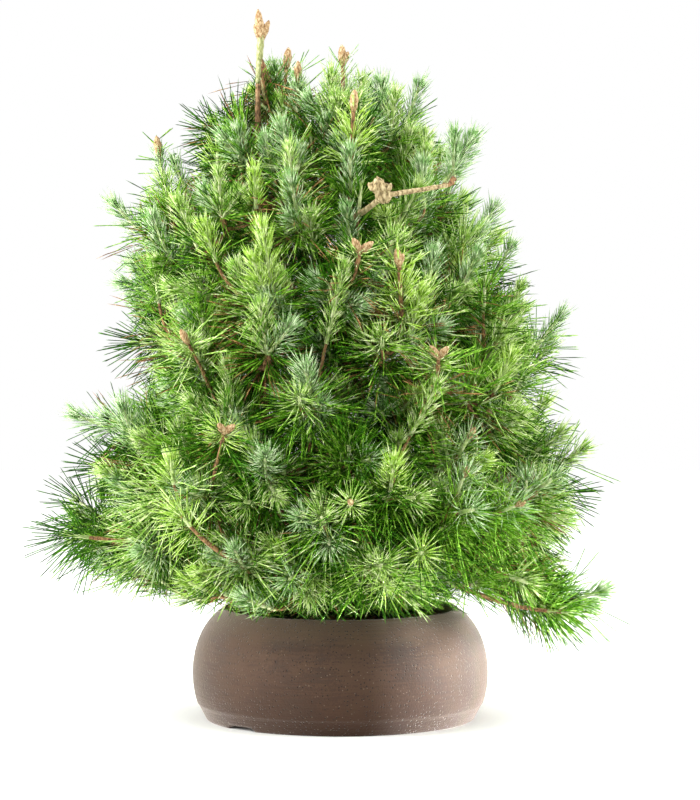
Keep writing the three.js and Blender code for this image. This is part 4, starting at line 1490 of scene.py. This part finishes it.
@dataclass
class Foliage:
    """Needles, twigs, candles and buds of the whole crown."""

    outline: Outline
    boughs: Boughs
    bowl_height: float = 75.0
    bowl_sides: tuple[float, ...] = (100.0, 98.6, 94.0, 88.0, 80.5)
    bowl_heights: tuple[float, ...] = (31.0, 48.0, 60.0, 68.0, 75.0)
    bowl_clearance: float = 2.0
    mouth: float = 72.0
    soil: float = 69.5
    long_rings: tuple[float, ...] = (0.38, 0.93)
    long_thin: tuple[float, ...] = (1.0, 0.9)
    short_ring: float = 0.55
    plain_ring: float = 0.8
    long_from: float = 26.0
    long_width: float = 0.74
    short_width: float = 0.72
    twig_foot: float = 2.0
    twig_tip: float = 1.15
    twig_sides: int = 5
    twig_overrun: float = 0.35
    twig_uneven: Pair = (0.9, 1.12)
    slender: float = 0.75
    bare_twig: float = 14.0
    candle_pairs: float = 1.7
    sprig_dense: float = 1.7
    bud_size: Pair = (8.0, 2.0)
    bud_gain: Pair = (6.5, 0.6)
    bud_rings: int = 15
    bud_sides: int = 10
    leader_bud: Pair = (23.5, 2.8)
    level_low: float = 90.0
    level_span: float = 300.0
    turn_scatter: float = 0.15
    spread_scatter: float = 7.0
    fork_range: Pair = (0.4, 1.4)
    bend_scatter: float = 0.035
    length_range: Pair = (0.78, 1.12)
    width_range: Pair = (0.85, 1.15)
    shade_heights: Pair = (150.0, 400.0)
    seed: int = 41

    def __post_init__(self) -> None:
        """Starts with nothing grown."""
        self.random = np.random.default_rng(self.seed)
        self.needles: dict[Tint, list[Shape]] = {tint: [] for tint in Tint}
        self.twigs = Soup()
        self.candles = Soup()
        self.leader = Soup()
        self.buds = Soup()

    def clear(self, points: np.ndarray) -> np.ndarray:
        """Whether each point is above the needle floor, outside the bowl and not before the bare branch.

        Args:
            points: One point in each row.

        Returns:
            True for each point where a needle may be.
        """
        reach = np.hypot(points[:, 0], points[:, 1])
        wall = np.interp(points[:, 2], self.bowl_heights, self.bowl_sides) + self.bowl_clearance
        in_mouth = reach < self.mouth
        in_wall = (points[:, 2] < self.bowl_height + self.bowl_clearance) & (reach < wall) & ~in_mouth
        floor = np.where(in_mouth, self.soil, self.outline.needle_floor(points))
        return ~in_wall & (points[:, 2] > floor) & ~self.boughs.veils(points)

    def spray(self, tint: Tint, path: np.ndarray, kind: Spray, vigour: float) -> None:
        """Sets pairs of needles round an axis.

        Args:
            tint: Colour that the spray is dealt.
            path: Points of the axis, from its foot to its tip.
            kind: How the needles stand on it.
            vigour: Length of the needles as a share of the full one.
        """
        share = (np.arange(kind.pairs) + self.random.uniform(0, 1, kind.pairs)) / kind.pairs
        at = share * (len(path) - 1)
        whole = np.minimum(at.astype(int), len(path) - 2)
        part = (at - whole)[:, None]
        roots = path[whole] * (1 - part) + path[whole + 1] * part
        along = unit(path[whole + 1] - path[whole])
        first, second = across(along)
        turn = np.arange(kind.pairs) * GOLDEN_ANGLE + self.random.uniform(0, 2 * math.pi)
        turn = turn + self.random.normal(0, self.turn_scatter, kind.pairs)
        spread = np.radians(kind.spread[0] + (kind.spread[1] - kind.spread[0]) * share
                            + self.random.normal(0, self.spread_scatter, kind.pairs))
        size = vigour * (kind.length[0] + (kind.length[1] - kind.length[0]) * share)
        for half in (-1, 1):
            fork = half * np.radians(kind.fork) * self.random.uniform(*self.fork_range, kind.pairs)
            out = np.cos(turn + fork)[:, None] * first + np.sin(turn + fork)[:, None] * second
            lean = spread + 0.5 * fork
            ways = np.cos(lean)[:, None] * along + np.sin(lean)[:, None] * out
            uneven = self.random.normal(0, self.bend_scatter, (kind.pairs, 3))
            bends = kind.forward * along - kind.droop * UP + uneven
            lengths = size * self.random.uniform(*self.length_range, kind.pairs)
            widths = kind.width * self.random.uniform(*self.width_range, kind.pairs)
            grown = NeedleSet(roots, unit(ways), lengths, widths, bends)
            grown = grown.kept(self.clear(grown.ends(1.0)) & self.clear(grown.ends(0.6)))
            if kind.plain or kind.length[0] < self.long_from:
                shape = grown.shape((self.plain_ring if kind.plain else self.short_ring,), (1.0,))
            else:
                shape = grown.shape(self.long_rings, self.long_thin)
            self.needles[tint].append(shape)

    def grow(self, shoot: Shoot) -> None:
        """Grows one shoot: its twig with old needles, and the kind of end that it has or is dealt.

        Args:
            shoot: The shoot.
        """
        deal = self.random.uniform(0, 1, 6)
        level = min(max((shoot.tip[2] - self.level_low) / self.level_span, 0), 1)
        kind = shoot.kind or self.kind_for(deal[2], level)
        self.grow_twig(shoot)
        if kind is not Kind.SPRIG and not shoot.bare:
            self.grow_old(shoot, deal[0])
        if kind in (Kind.CANDLE, Kind.ROSETTE):
            self.grow_star(shoot, deal[1], level)
        if kind is Kind.BRUSH:
            end = self.grow_brush(shoot, deal[3], level)
        elif kind is Kind.ROSETTE:
            end = self.grow_rosette(shoot, deal[3], deal[4])
        else:
            end = self.grow_candle(shoot, deal[3], deal[4], level)
        if shoot.buds:
            size = [least + gain * level for least, gain in zip(self.bud_size, self.bud_gain)]
            self.grow_buds(end, shoot.along, shoot.buds, size)

    def kind_for(self, deal: float, level: float) -> Kind:
        """The kind that a shoot is dealt: more candles high in the crown, more rosettes low.

        Args:
            deal: Random number that deals it.
            level: Height in the crown, from 0 to 1.

        Returns:
            The kind.
        """
        candles = 0.34 + 0.4 * level
        brushes = candles + 0.26 - 0.1 * level
        return Kind.CANDLE if deal < candles else Kind.BRUSH if deal < brushes else Kind.ROSETTE

    def grow_twig(self, shoot: Shoot) -> None:
        """The woody twig from its branching to a little beyond the shoot's foot.

        Args:
            shoot: The shoot.
        """
        end = shoot.foot + self.twig_overrun * shoot.length * shoot.along
        path = np.concatenate([shoot.twig, end[None]])
        slender = shoot.kind is Kind.SPRIG or (shoot.fine and not shoot.bare)
        thick = self.slender if slender else 1.0
        radii = thick * np.linspace(self.twig_foot, self.twig_tip, len(path))
        radii = radii * self.random.uniform(*self.twig_uneven, len(path))
        self.twigs.add(*tube(path, radii, self.twig_sides))

    def grow_old(self, shoot: Shoot, deal: float) -> None:
        """Old needles along the twig inside the crown, some of them dry.

        Args:
            shoot: The shoot.
            deal: Random number that deals its colour.
        """
        if np.linalg.norm(shoot.foot - shoot.twig[0]) < self.bare_twig:
            return
        pairs = 16 if shoot.fine else 24
        kind = Spray(pairs, spread=(82, 58), length=(40, 42), width=self.long_width, droop=0.08, plain=True)
        self.spray(dealt(deal, *OLD_TINTS), shoot.twig[2:-1], kind, 0.88)

    def grow_star(self, shoot: Shoot, deal: float, level: float) -> None:
        """The star of long year-old needles round the shoot's foot, or right round its buds.

        Args:
            shoot: The shoot.
            deal: Random number that deals its colour.
            level: Height in the crown, from 0 to 1.
        """
        # The darkest green is dealt more often low in the crown: painted shade for its lower part.
        tint = dealt(deal, (Tint.DEEP, 0.5 - 0.22 * level), (Tint.MID, 0.84), (Tint.FRESH, 1.0))
        if shoot.buds:
            axis = np.array([shoot.foot, 0.5 * (shoot.foot + shoot.tip), shoot.tip])
        else:
            crest = shoot.foot + 0.3 * shoot.length * shoot.along
            axis = np.concatenate([shoot.twig[-4:], crest[None]])
        pairs = int((18 if shoot.fine else 25) * (1.2 - 0.5 * level))
        low = 1 - level
        kind = Spray(pairs, spread=(98, 48), length=(45 + 5 * low, 41 + 5 * low), width=self.long_width,
                     forward=0.05, droop=0.06 + 0.2 * low)
        self.spray(tint, axis, kind, shoot.vigour * (0.98 - 0.34 * level))

    def grow_brush(self, shoot: Shoot, deal: float, level: float) -> np.ndarray:
        """A brush of long needles that lean forward more and more to its tip.

        Args:
            shoot: The shoot.
            deal: Random number that deals its colour.
            level: Height in the crown, from 0 to 1.

        Returns:
            The tip, where buds may sit.
        """
        tint = shoot.tint or dealt(deal, *BRUSH_TINTS)
        tip = shoot.tip if shoot.buds else shoot.foot + 0.4 * shoot.length * shoot.along
        axis = np.array([shoot.twig[-2], shoot.foot, 0.5 * (shoot.foot + tip), tip])
        closing = 40 if shoot.buds else 16
        droop = 0.04 + 0.1 * (1 - level)
        kind = Spray(30 if shoot.fine else 38, spread=(84, closing), length=(44, 34), width=self.long_width,
                     forward=0.05, droop=droop)
        self.spray(tint, axis, kind, shoot.vigour * (0.96 - 0.26 * level))
        if shoot.buds:
            self.twigs.add(*tube(axis[1:], np.array([1.5, 1.4, 1.3]), 6))
            collar = Spray(24, spread=(60, 32), length=(30, 26), width=self.short_width, forward=0.05)
            self.spray(tint, axis[1:3], collar, shoot.vigour)
        else:
            self.candles.add(*tube(axis[1:], np.array([1.4, 1.3, 1.0]), 5))
            tuft = Spray(8, spread=(34, 10), length=(13, 11), width=self.short_width)
            self.spray(dealt(deal, *TUFT_TINTS), axis[2:], tuft, 1.0)
        return tip

    def grow_candle(self, shoot: Shoot, deal: float, size: float, level: float) -> np.ndarray:
        """A new candle: a pale stem thickly set with short needles that lean forward, blunt at its end.

        Args:
            shoot: The shoot.
            deal: Random number that deals its colour.
            size: Random number that deals its needles' length.
            level: Height in the crown, from 0 to 1.

        Returns:
            The tip of the stem, where buds may sit.
        """
        hands = ((Tint.BLUE, 0.3 + 0.25 * level), (Tint.FRESH, 0.87), (Tint.LIME, 1.0))
        tint = shoot.tint or dealt(deal, *hands)
        foot = shoot.foot
        tip = shoot.tip + (6 * size - 12) * shoot.along
        path = bezier(foot, 0.5 * (foot + tip) - 1.5 * UP, tip, 6)
        self.candles.add(*tube(path, np.linspace(1.5, 0.9, len(path)), 6))
        reach = (13.5 + 6 * size) * (0.92 + 0.2 * (1 - level))
        dense = self.sprig_dense if shoot.kind is Kind.SPRIG else 1.0
        pairs = int(dense * self.candle_pairs * float(np.linalg.norm(tip - foot)))
        kind = Spray(pairs, spread=(52, 27), length=(reach, 0.9 * reach), width=self.short_width,
                     forward=0.14, fork=10)
        self.spray(tint, path, kind, 0.75 + 0.25 * shoot.vigour)
        crown = Spray(14, spread=(32, 12), length=(0.8 * reach, 0.75 * reach), width=self.short_width)
        self.spray(tint, path[-2:], crown, 1.0)
        return tip

    def grow_rosette(self, shoot: Shoot, deal: float, size: float) -> np.ndarray:
        """A short new tuft in the middle of its star.

        Args:
            shoot: The shoot.
            deal: Random number that deals its colour.
            size: Random number that deals its height.

        Returns:
            The tip, where buds may sit.
        """
        tint = shoot.tint or dealt(deal, *ROSETTE_TINTS)
        foot = shoot.foot + 0.3 * shoot.length * shoot.along
        tip = shoot.tip if shoot.buds else foot + (9 + 8 * size) * shoot.along
        path = np.array([foot, 0.5 * (foot + tip), tip])
        stems = self.twigs if shoot.buds else self.candles
        stems.add(*tube(path, np.array([1.5, 1.4, 1.0]), 6))
        kind = Spray(28, spread=(82, 60 if shoot.buds else 18), length=(23, 17), width=self.short_width,
                     forward=0.06, droop=0.02, fork=9)
        self.spray(tint, path, kind, 1.0)
        if deal > 0.86 and not shoot.buds:
            self.grow_bud(tip, shoot.along, 7 + 3 * size, 1.9)
        return tip

    def grow_buds(self, foot: np.ndarray, along: np.ndarray, count: int, largest: Sequence[float]) -> None:
        """A cluster of one, two or three buds.

        Args:
            foot: Where they sit.
            along: Where the shoot points.
            count: How many there are.
            largest: Length and radius of the largest one.
        """
        length, radius = largest
        side = np.array([1.0, 0.25, 0.0])
        side = unit(side - along * (side @ along))
        for lean, size in BUD_LEANS[count]:
            self.grow_bud(foot, unit(along + lean * side), length * size, radius * (0.4 + 0.6 * size))

    def grow_bud(self, foot: np.ndarray, along: np.ndarray, length: float, radius: float) -> None:
        """A spindle bud of overlapping scales.

        Args:
            foot: Where it sits.
            along: Where it points.
            length: Its length.
            radius: Its largest radius.
        """
        t = np.linspace(0, 1, self.bud_rings)
        path = foot + np.outer(t * length - 0.12 * length, along)
        wide = np.interp(t, (0, 0.3, 0.6, 0.88, 1), (0.55, 0.95, 1.0, 0.6, 0.12))
        angle = turns(self.bud_sides)
        scales = 1 + 0.16 * np.abs(np.sin(2.5 * angle[None] + 9 * t[:, None]))
        self.buds.add(*tube(path, radius * wide[:, None] * scales, self.bud_sides))

    def grow_leader(self, growth: Growth) -> None:
        """The leader: a pale stem that stands above the crown with three buds at its tip.

        Args:
            growth: The rule, which knows the leader's stem.
        """
        stem = growth.stem(growth.boughs.leader)
        path = bezier(stem.path[0], stem.path[1], stem.path[2], 14)
        ribs = 1 + 0.09 * np.sin(np.arange(15) * 2.4)
        radii = np.linspace(stem.radii[0], stem.radii[-1], len(path))
        self.leader.add(*tube(path, radii * ribs, 10))
        low = Spray(8, spread=(50, 34), length=(18, 14), width=self.short_width)
        high = Spray(2, spread=(30, 24), length=(15, 14), width=self.short_width)
        self.spray(Tint.MID, path[1:6], low, 1.0)
        self.spray(Tint.FRESH, path[-3:-1], high, 1.0)
        self.grow_buds(path[-1] - 3 * UP, UP, 3, self.leader_bud)

    def grow_stems(self, growth: Growth, shoots: list[Shoot]) -> None:
        """The stems that carry the boughs on to their last twigs, and old shaded needles round them.

        Args:
            growth: The rule, which knows the stems.
            shoots: All shoots with their twigs.
        """
        for own in range(len(growth.boughs.centres)):
            if own == growth.boughs.leader:
                continue
            stem = growth.stem(own)
            path = bezier(stem.path[0], stem.path[1], stem.path[2], 12)
            starts = np.array([shoot.twig[0] for shoot in shoots if shoot.own == own])
            last = max(int(np.argmin(np.linalg.norm(path - start, axis=1))) for start in starts)
            path = path[:max(last, 1) + 1]
            self.twigs.add(*tube(path, np.linspace(stem.radii[0], stem.radii[-1], len(path)), 7))
            if own != growth.boughs.bare:
                self.shade(np.concatenate([growth.boughs.limbs[own].path[3::3], path[1:]]), 100)
        heights = np.linspace(*self.shade_heights, 30)
        self.shade(np.array([growth.boughs.trunk.point(z) for z in heights]), 400)

    def shade(self, path: np.ndarray, pairs: int) -> None:
        """Old needles that close the crown's dark middle, one part in four of them dry.

        Args:
            path: Points of a limb.
            pairs: Number of pairs of needles.
        """
        kind = Spray(3 * pairs // 4, spread=(80, 66), length=(42, 42), width=self.long_width, droop=0.06,
                     plain=True)
        self.spray(Tint.DEEP, path, kind, 1.0)
        kind.pairs = pairs // 4
        self.spray(Tint.DRY, path, kind, 0.9)

    def build(self, nodes: list[str]) -> list[Object]:
        """Joins each kind into pieces of a limited size and dresses them.

        Args:
            nodes: Needle masses of the solids, which the pieces stand for.

        Returns:
            All pieces.
        """
        pieces = []
        for tint, shapes in self.needles.items():
            material = tint.value.material()
            for number, soup in enumerate(self.parted(shapes), 1):
                piece = soup.piece(f"needles_{tint.name.lower()}_{number}")
                dress(piece, material, nodes)
                pieces.append(piece)
        kinds = (
            (self.twigs, "twigs", TWIG_SKIN, "bark"),
            (self.candles, "candle_stems", CANDLE_SKIN, "needles"),
            (self.leader, "leader_stem", LEADER_SKIN, "bark"),
            (self.buds, "buds", BUD_SCALES, "bark"),
        )
        for soup, name, finish, slot in kinds:
            piece = soup.piece(name)
            dress(piece, finish.material(), [])
            pieces.append(piece)
        return pieces

    def parted(self, shapes: list[Shape]) -> list[Soup]:
        """Shares shapes out into meshes of a limited number of triangles.

        Args:
            shapes: Corners and triangles of each spray.

        Returns:
            One soup for each mesh.
        """
        soups = [Soup()]
        room = PIECE_TRIANGLES
        for points, triangles in shapes:
            if len(triangles) > room:
                soups.append(Soup())
                room = PIECE_TRIANGLES
            soups[-1].add(points, triangles)
            room -= len(triangles)
        return soups


# Bowl and soil


def turned(profile: np.ndarray, sides: int) -> Shape:
    """A closed shape turned about the axis.

    Args:
        profile: Radius and height of each point, from the axis at the bottom back to the axis.
        sides: Number of sides.

    Returns:
        Corners and triangles; the first and last corner are on the axis.
    """
    rings = profile[1:-1]
    angle = turns(sides)
    spokes = np.stack([np.cos(angle), np.sin(angle)], 1)
    flat = rings[:, None, :1] * spokes[None]
    walls = np.concatenate([flat, np.broadcast_to(rings[:, None, 1:], flat.shape[:2] + (1,))], axis=2)
    points = np.concatenate([[[0, 0, profile[0, 1]]], walls.reshape(-1, 3), [[0, 0, profile[-1, 1]]]])
    k = np.arange(sides)
    last = 1 + (len(rings) - 1) * sides
    foot = np.stack([np.zeros_like(k), 1 + (k + 1) % sides, 1 + k], 1)
    top = np.stack([last + k, last + (k + 1) % sides, np.full_like(k, len(points) - 1)], 1)
    return points, np.concatenate([foot, 1 + wall_triangles(len(rings), sides), top])


@dataclass
class Bowl:
    """The thrown bowl: an incurved rim, a ridge above the foot and two notches under it."""

    belly: float = 100.0
    belly_height: float = 31.0
    rim: float = 80.5
    rim_height: float = 75.0
    lip: float = 2.6
    ridge: Pair = (96.2, 10.2)
    foot_top: Pair = (95.1, 8.5)
    shoulder: Pair = (97.4, 12.8)
    step_bend: Pair = (95.6, 9.4)
    crest_bend: Pair = (97.0, 11.0)
    low_bend: float = 21.0
    high_bend: float = 46.0
    rim_bend: Pair = (95.0, 64.0)
    foot: float = 91.0
    foot_edge: float = 0.6
    underside: tuple[float, ...] = (0.0, 40.0, 74.0, 78.0, 84.0)
    wall: float = 7.5
    floor: float = 9.0
    notch_width: float = 25.0
    notch_height: float = 2.6
    notch_depth: float = 16.0
    notch_turn: float = math.radians(224)
    sides: int = 180
    turning: float = 0.05
    turning_mm: float = 3.4

    def outside(self) -> np.ndarray:
        """Radius and height of the outside, from the edge of the foot to the lip's inner side.

        Returns:
            One point of the profile in each row.
        """
        def point(r: float, z: float) -> np.ndarray:
            """One point of the profile."""
            return np.array([r, z])

        foot = np.linspace(point(self.foot, self.foot_edge), point(*self.foot_top), 7)
        step = bezier(point(*self.foot_top), point(*self.step_bend), point(*self.ridge), 4)[1:]
        crest = bezier(point(*self.ridge), point(*self.crest_bend), point(*self.shoulder), 4)[1:]
        belly = point(self.belly, self.belly_height)
        low = bezier(point(*self.shoulder), point(self.belly, self.low_bend), belly, 14)[1:]
        t = np.linspace(0, 1, 41)[1:, None]
        ends = (belly, point(self.belly, self.high_bend), point(*self.rim_bend),
                point(self.rim, self.rim_height - 0.4 * self.lip))
        high = ((1 - t) ** 3 * ends[0] + 3 * t * (1 - t) ** 2 * ends[1]
                + 3 * t * t * (1 - t) * ends[2] + t ** 3 * ends[3])
        over = point(self.rim - self.lip, self.rim_height + 0.6 * self.lip)
        inner = point(self.rim - 2 * self.lip, self.rim_height - self.lip)
        lip = bezier(ends[3], over, inner, 12)[1:]
        wavy = np.concatenate([low, high])
        wavy[:, 0] += self.turning * np.sin(2 * math.pi * wavy[:, 1] / self.turning_mm)
        underside = np.array([point(r, 0.0) for r in (*self.underside, self.foot - self.foot_edge)])
        return np.concatenate([underside, foot, step, crest, wavy, lip])

    def inside(self) -> np.ndarray:
        """Radius and height of the inside, from under the lip to the axis.

        Returns:
            One point of the profile in each row.
        """
        r = self.belly - self.wall
        start = np.array([self.rim - 2 * self.lip, self.rim_height - self.lip])
        side = bezier(start, np.array([r - 1, 56.0]), np.array([r, self.belly_height + 6]), 14)[1:]
        low = bezier(np.array([r, self.belly_height + 6]), np.array([r, self.floor]),
                     np.array([r - 16, self.floor]), 10)[1:]
        return np.concatenate([side, low, [[0.0, self.floor]]])

    def build(self) -> Object:
        """Turns the bowl and lifts its underside in the two notches.

        Returns:
            The dressed piece.
        """
        points, triangles = turned(np.concatenate([self.outside(), self.inside()]), self.sides)
        reach = np.hypot(points[:, 0], points[:, 1])
        for half in (0.0, math.pi):
            turn = self.notch_turn + half
            aside = -points[:, 0] * math.sin(turn) + points[:, 1] * math.cos(turn)
            ahead = points[:, 0] * math.cos(turn) + points[:, 1] * math.sin(turn)
            cut = (np.abs(aside) < 0.5 * self.notch_width) & (ahead > 0) & (points[:, 2] < self.notch_height)
            cut &= reach > self.foot - 0.75 * self.notch_depth
            points[cut, 2] = self.notch_height
        piece = mesh_piece("bowl_stoneware", points, triangles)
        piece.data.set_sharp_from_angle(angle=math.radians(40))
        dress(piece, StonewareFinish().material(), ["bowl"])
        return piece


@dataclass
class Soil:
    """Soil in the bowl: level round the trunk, lower along the wall, strewn with crumbs."""

    top: float = 68.0
    edge: float = 64.5
    level_radius: float = 34.0
    reach: float = 83.0
    bottom: float = 40.0
    sides: int = 120
    rings: int = 40
    crumbs: int = 360
    seed: int = 7

    def height(self, reach: np.ndarray) -> np.ndarray:
        """Height of the surface at a distance from the axis."""
        return np.interp(reach, (self.level_radius, self.reach), (self.top, self.edge))

    def build(self) -> Object:
        """Makes the uneven surface and the loose crumbs on it.

        Returns:
            The dressed piece.
        """
        draw = np.random.default_rng(self.seed)
        reach = np.linspace(self.reach, 2.0, self.rings)
        rim = np.stack([reach, self.height(reach)], 1)
        profile = np.concatenate([[[0.0, self.bottom], [self.reach, self.bottom]], rim, [[0.0, self.top]]])
        points, triangles = turned(profile, self.sides)
        upper = points[:, 2] > self.edge - 1
        for i in np.nonzero(upper)[0]:
            points[i, 2] += 0.5 * noise.noise(Vector(points[i]) * 0.35) - 0.4
        soup = Soup()
        soup.add(points, triangles)
        far = self.reach * np.sqrt(draw.uniform(0.04, 0.94, self.crumbs))
        turn = draw.uniform(0, 2 * math.pi, self.crumbs)
        size = draw.uniform(0.7, 2.1, self.crumbs)
        for r, a, s in zip(far, turn, size):
            soup.add(*self.crumb(around(r, a, float(self.height(r))), s, draw))
        piece = soup.piece("soil_surface")
        dress(piece, EarthFinish().material(), ["soil"])
        return piece

    def crumb(self, centre: np.ndarray, size: float, draw: np.random.Generator) -> Shape:
        """An uneven crumb of soil or grit, half sunk.

        Args:
            centre: Where it lies.
            size: Its radius.
            draw: Random numbers.

        Returns:
            Corners and triangles.
        """
        wide = size * np.array([0.35, 0.9, 1.0, 0.75, 0.3])
        path = centre + np.outer(size * np.array([-0.8, -0.4, 0.0, 0.5, 0.75]), UP)
        uneven = draw.uniform(0.75, 1.2, (5, 6))
        return tube(path, wide[:, None] * uneven, 6)


# Studio


def facing(place: Point, target: Point) -> Euler:
    """Rotation of a lamp or camera that looks from a place to a target."""
    return (Vector(target) - Vector(place)).to_track_quat("-Z", "Y").to_euler()


@dataclass(frozen=True)
class SoftBox:
    """A soft light that faces the plant's axis. Its grid narrows the beam to the spread, in degrees."""

    name: str
    place: Point
    size: Pair
    power: float
    aim: float = 0.24
    spread: float = 180.0

    def build(self) -> None:
        """Adds the light to the scene."""
        light = bpy.data.lights.new(self.name, "AREA")
        light.shape = "RECTANGLE"
        light.size, light.size_y = self.size
        light.energy = self.power
        light.spread = math.radians(self.spread)
        lamp = bpy.data.objects.new(self.name, light)
        lamp.location = self.place
        lamp.rotation_euler = facing(self.place, (0.0, 0.0, self.aim))
        bpy.context.scene.collection.objects.link(lamp)


SOFT_BOXES = (
    SoftBox("light_right", (1.35, -0.1, 0.6), (0.9, 1.3), 24.5),
    SoftBox("light_left", (-1.35, -0.4, 0.7), (0.8, 1.2), 38.0),
    SoftBox("light_top", (-0.15, -0.6, 1.55), (1.1, 0.9), 22.0),
    SoftBox("light_bowl_right", (1.0, 0.25, 0.05), (0.5, 0.1), 1.5, aim=0.04, spread=16.0),
    SoftBox("light_bowl_left", (-1.0, 0.15, 0.05), (0.5, 0.1), 0.06, aim=0.04, spread=16.0),
)


@dataclass
class Studio:
    """White studio: a pale floor, soft light from above and both sides, and the camera of the photo."""

    floor_reach: float = 2.4
    floor_sides: int = 64
    floor_colours: tuple[str, str] = ("f2f2f0", "f4f4f2")
    floor_grain_mm: float = 40.0
    eye: Point = (0.0066, -2.3, 0.3298)
    aim: Point = (0.0066, 0.0, 0.2153)
    lens: float = 153.4
    floor_glow: Pair = (0.0, 0.55)
    floor_glow_reach: Pair = (0.09, 0.16)
    front_light: float = 0.145
    round_light: float = 0.5

    def build(self) -> None:
        """Makes the floor, the light and the camera."""
        self.build_floor()
        self.build_world()
        for light in SOFT_BOXES:
            light.build()
        self.build_camera()
        bpy.context.scene.view_settings.view_transform = "Standard"

    def build_floor(self) -> None:
        """A wide matt floor with a faint grain, which glows like lit paper away from the bowl's shade."""
        angle = turns(self.floor_sides)
        rim = self.floor_reach / MM * np.stack([np.cos(angle), np.sin(angle), np.zeros_like(angle)], 1)
        points = np.concatenate([[[0.0, 0.0, 0.0]], rim])
        k = np.arange(self.floor_sides)
        fan = np.stack([np.zeros_like(k), 1 + k, 1 + (k + 1) % self.floor_sides], 1)
        floor = mesh_piece("floor", points, fan)
        material, tree, shader, place = new_material("floor_white_paper_matt")
        set_shader(shader, {"Roughness": 0.9})
        grain = add_node(tree, "ShaderNodeTexNoise", {"Scale": per_mm(self.floor_grain_mm)},
                         {"Vector": place})
        ramp = add_node(tree, "ShaderNodeValToRGB", {}, {"Fac": grain.outputs["Fac"]})
        colour_steps(ramp, list(zip((0.3, 0.7), self.floor_colours)))
        tree.links.new(ramp.outputs["Color"], shader.inputs["Base Color"])
        shader.inputs["Emission Color"].default_value = (1.0, 1.0, 1.0, 1.0)
        away = add_node(tree, "ShaderNodeVectorMath", {"operation": "LENGTH"}, {0: place})
        near, far = self.floor_glow_reach
        least, most = self.floor_glow
        glow = add_node(tree, "ShaderNodeMapRange",
                        {"From Min": near, "From Max": far, "To Min": least, "To Max": most},
                        {"Value": away.outputs["Value"]})
        tree.links.new(glow.outputs["Result"], shader.inputs["Emission Strength"])
        floor.data.materials.append(material)

    def build_world(self) -> None:
        """White all round, and dimmer from the front, where the room is."""
        world = bpy.data.worlds.new("studio_white")
        bpy.context.scene.world = world
        world.use_nodes = True
        tree = world.node_tree
        back = tree.nodes["Background"]
        place = add_node(tree, "ShaderNodeTexCoord", {})
        parts = add_node(tree, "ShaderNodeSeparateXYZ", {}, {"Vector": place.outputs["Generated"]})
        dim = add_node(tree, "ShaderNodeMapRange", {"From Min": -0.9, "From Max": 0.1,
                                                    "To Min": self.front_light, "To Max": self.round_light},
                       {"Value": parts.outputs["Y"]})
        seen = add_node(tree, "ShaderNodeLightPath", {})
        shown = add_node(tree, "ShaderNodeMix", {"B": 1.0},
                         {0: seen.outputs["Is Camera Ray"], 2: dim.outputs["Result"]})
        tree.links.new(shown.outputs[0], back.inputs["Strength"])
        back.inputs["Color"].default_value = (1.0, 1.0, 1.0, 1.0)

    def build_camera(self) -> None:
        """The camera, at the photo's height, distance and angle of view."""
        data = bpy.data.cameras.new("camera")
        data.lens = self.lens
        data.sensor_width = 36.0
        data.clip_end = 60.0
        camera = bpy.data.objects.new("camera", data)
        camera.location = self.eye
        camera.rotation_euler = facing(self.eye, self.aim)
        bpy.context.scene.collection.objects.link(camera)
        bpy.context.scene.camera = camera


def dress(piece: Object, material: Material, nodes: list[str]) -> None:
    """Gives a piece its material and its place in the frame.

    Args:
        piece: The piece.
        material: Its material.
        nodes: Solids that it stands for.
    """
    piece.data.materials.append(material)
    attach(piece, BODY)
    if nodes:
        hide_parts(*nodes)


def main() -> None:
    """Builds bowl, soil, limbs and foliage in order, logs each piece's triangles, then builds the studio."""
    logging.basicConfig(level=logging.INFO, format="%(message)s")
    outline = Outline()
    trunk = Trunk()
    boughs = Boughs(outline, trunk)
    growth = Growth(outline, boughs)
    foliage = Foliage(outline, boughs)
    shoots = growth.shoots()
    for shoot in shoots:
        foliage.grow(shoot)
    foliage.grow_leader(growth)
    foliage.grow_stems(growth, shoots)
    masses = sorted(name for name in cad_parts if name.startswith("needles_"))
    pieces = [Bowl().build(), Soil().build(), trunk.build(), *boughs.build(), *foliage.build(masses)]
    for piece in pieces:
        LOG.info("%s: %d triangles", piece.name, len(piece.data.polygons))
    Studio().build()
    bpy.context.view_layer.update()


if __name__ == "__main__":
    main()
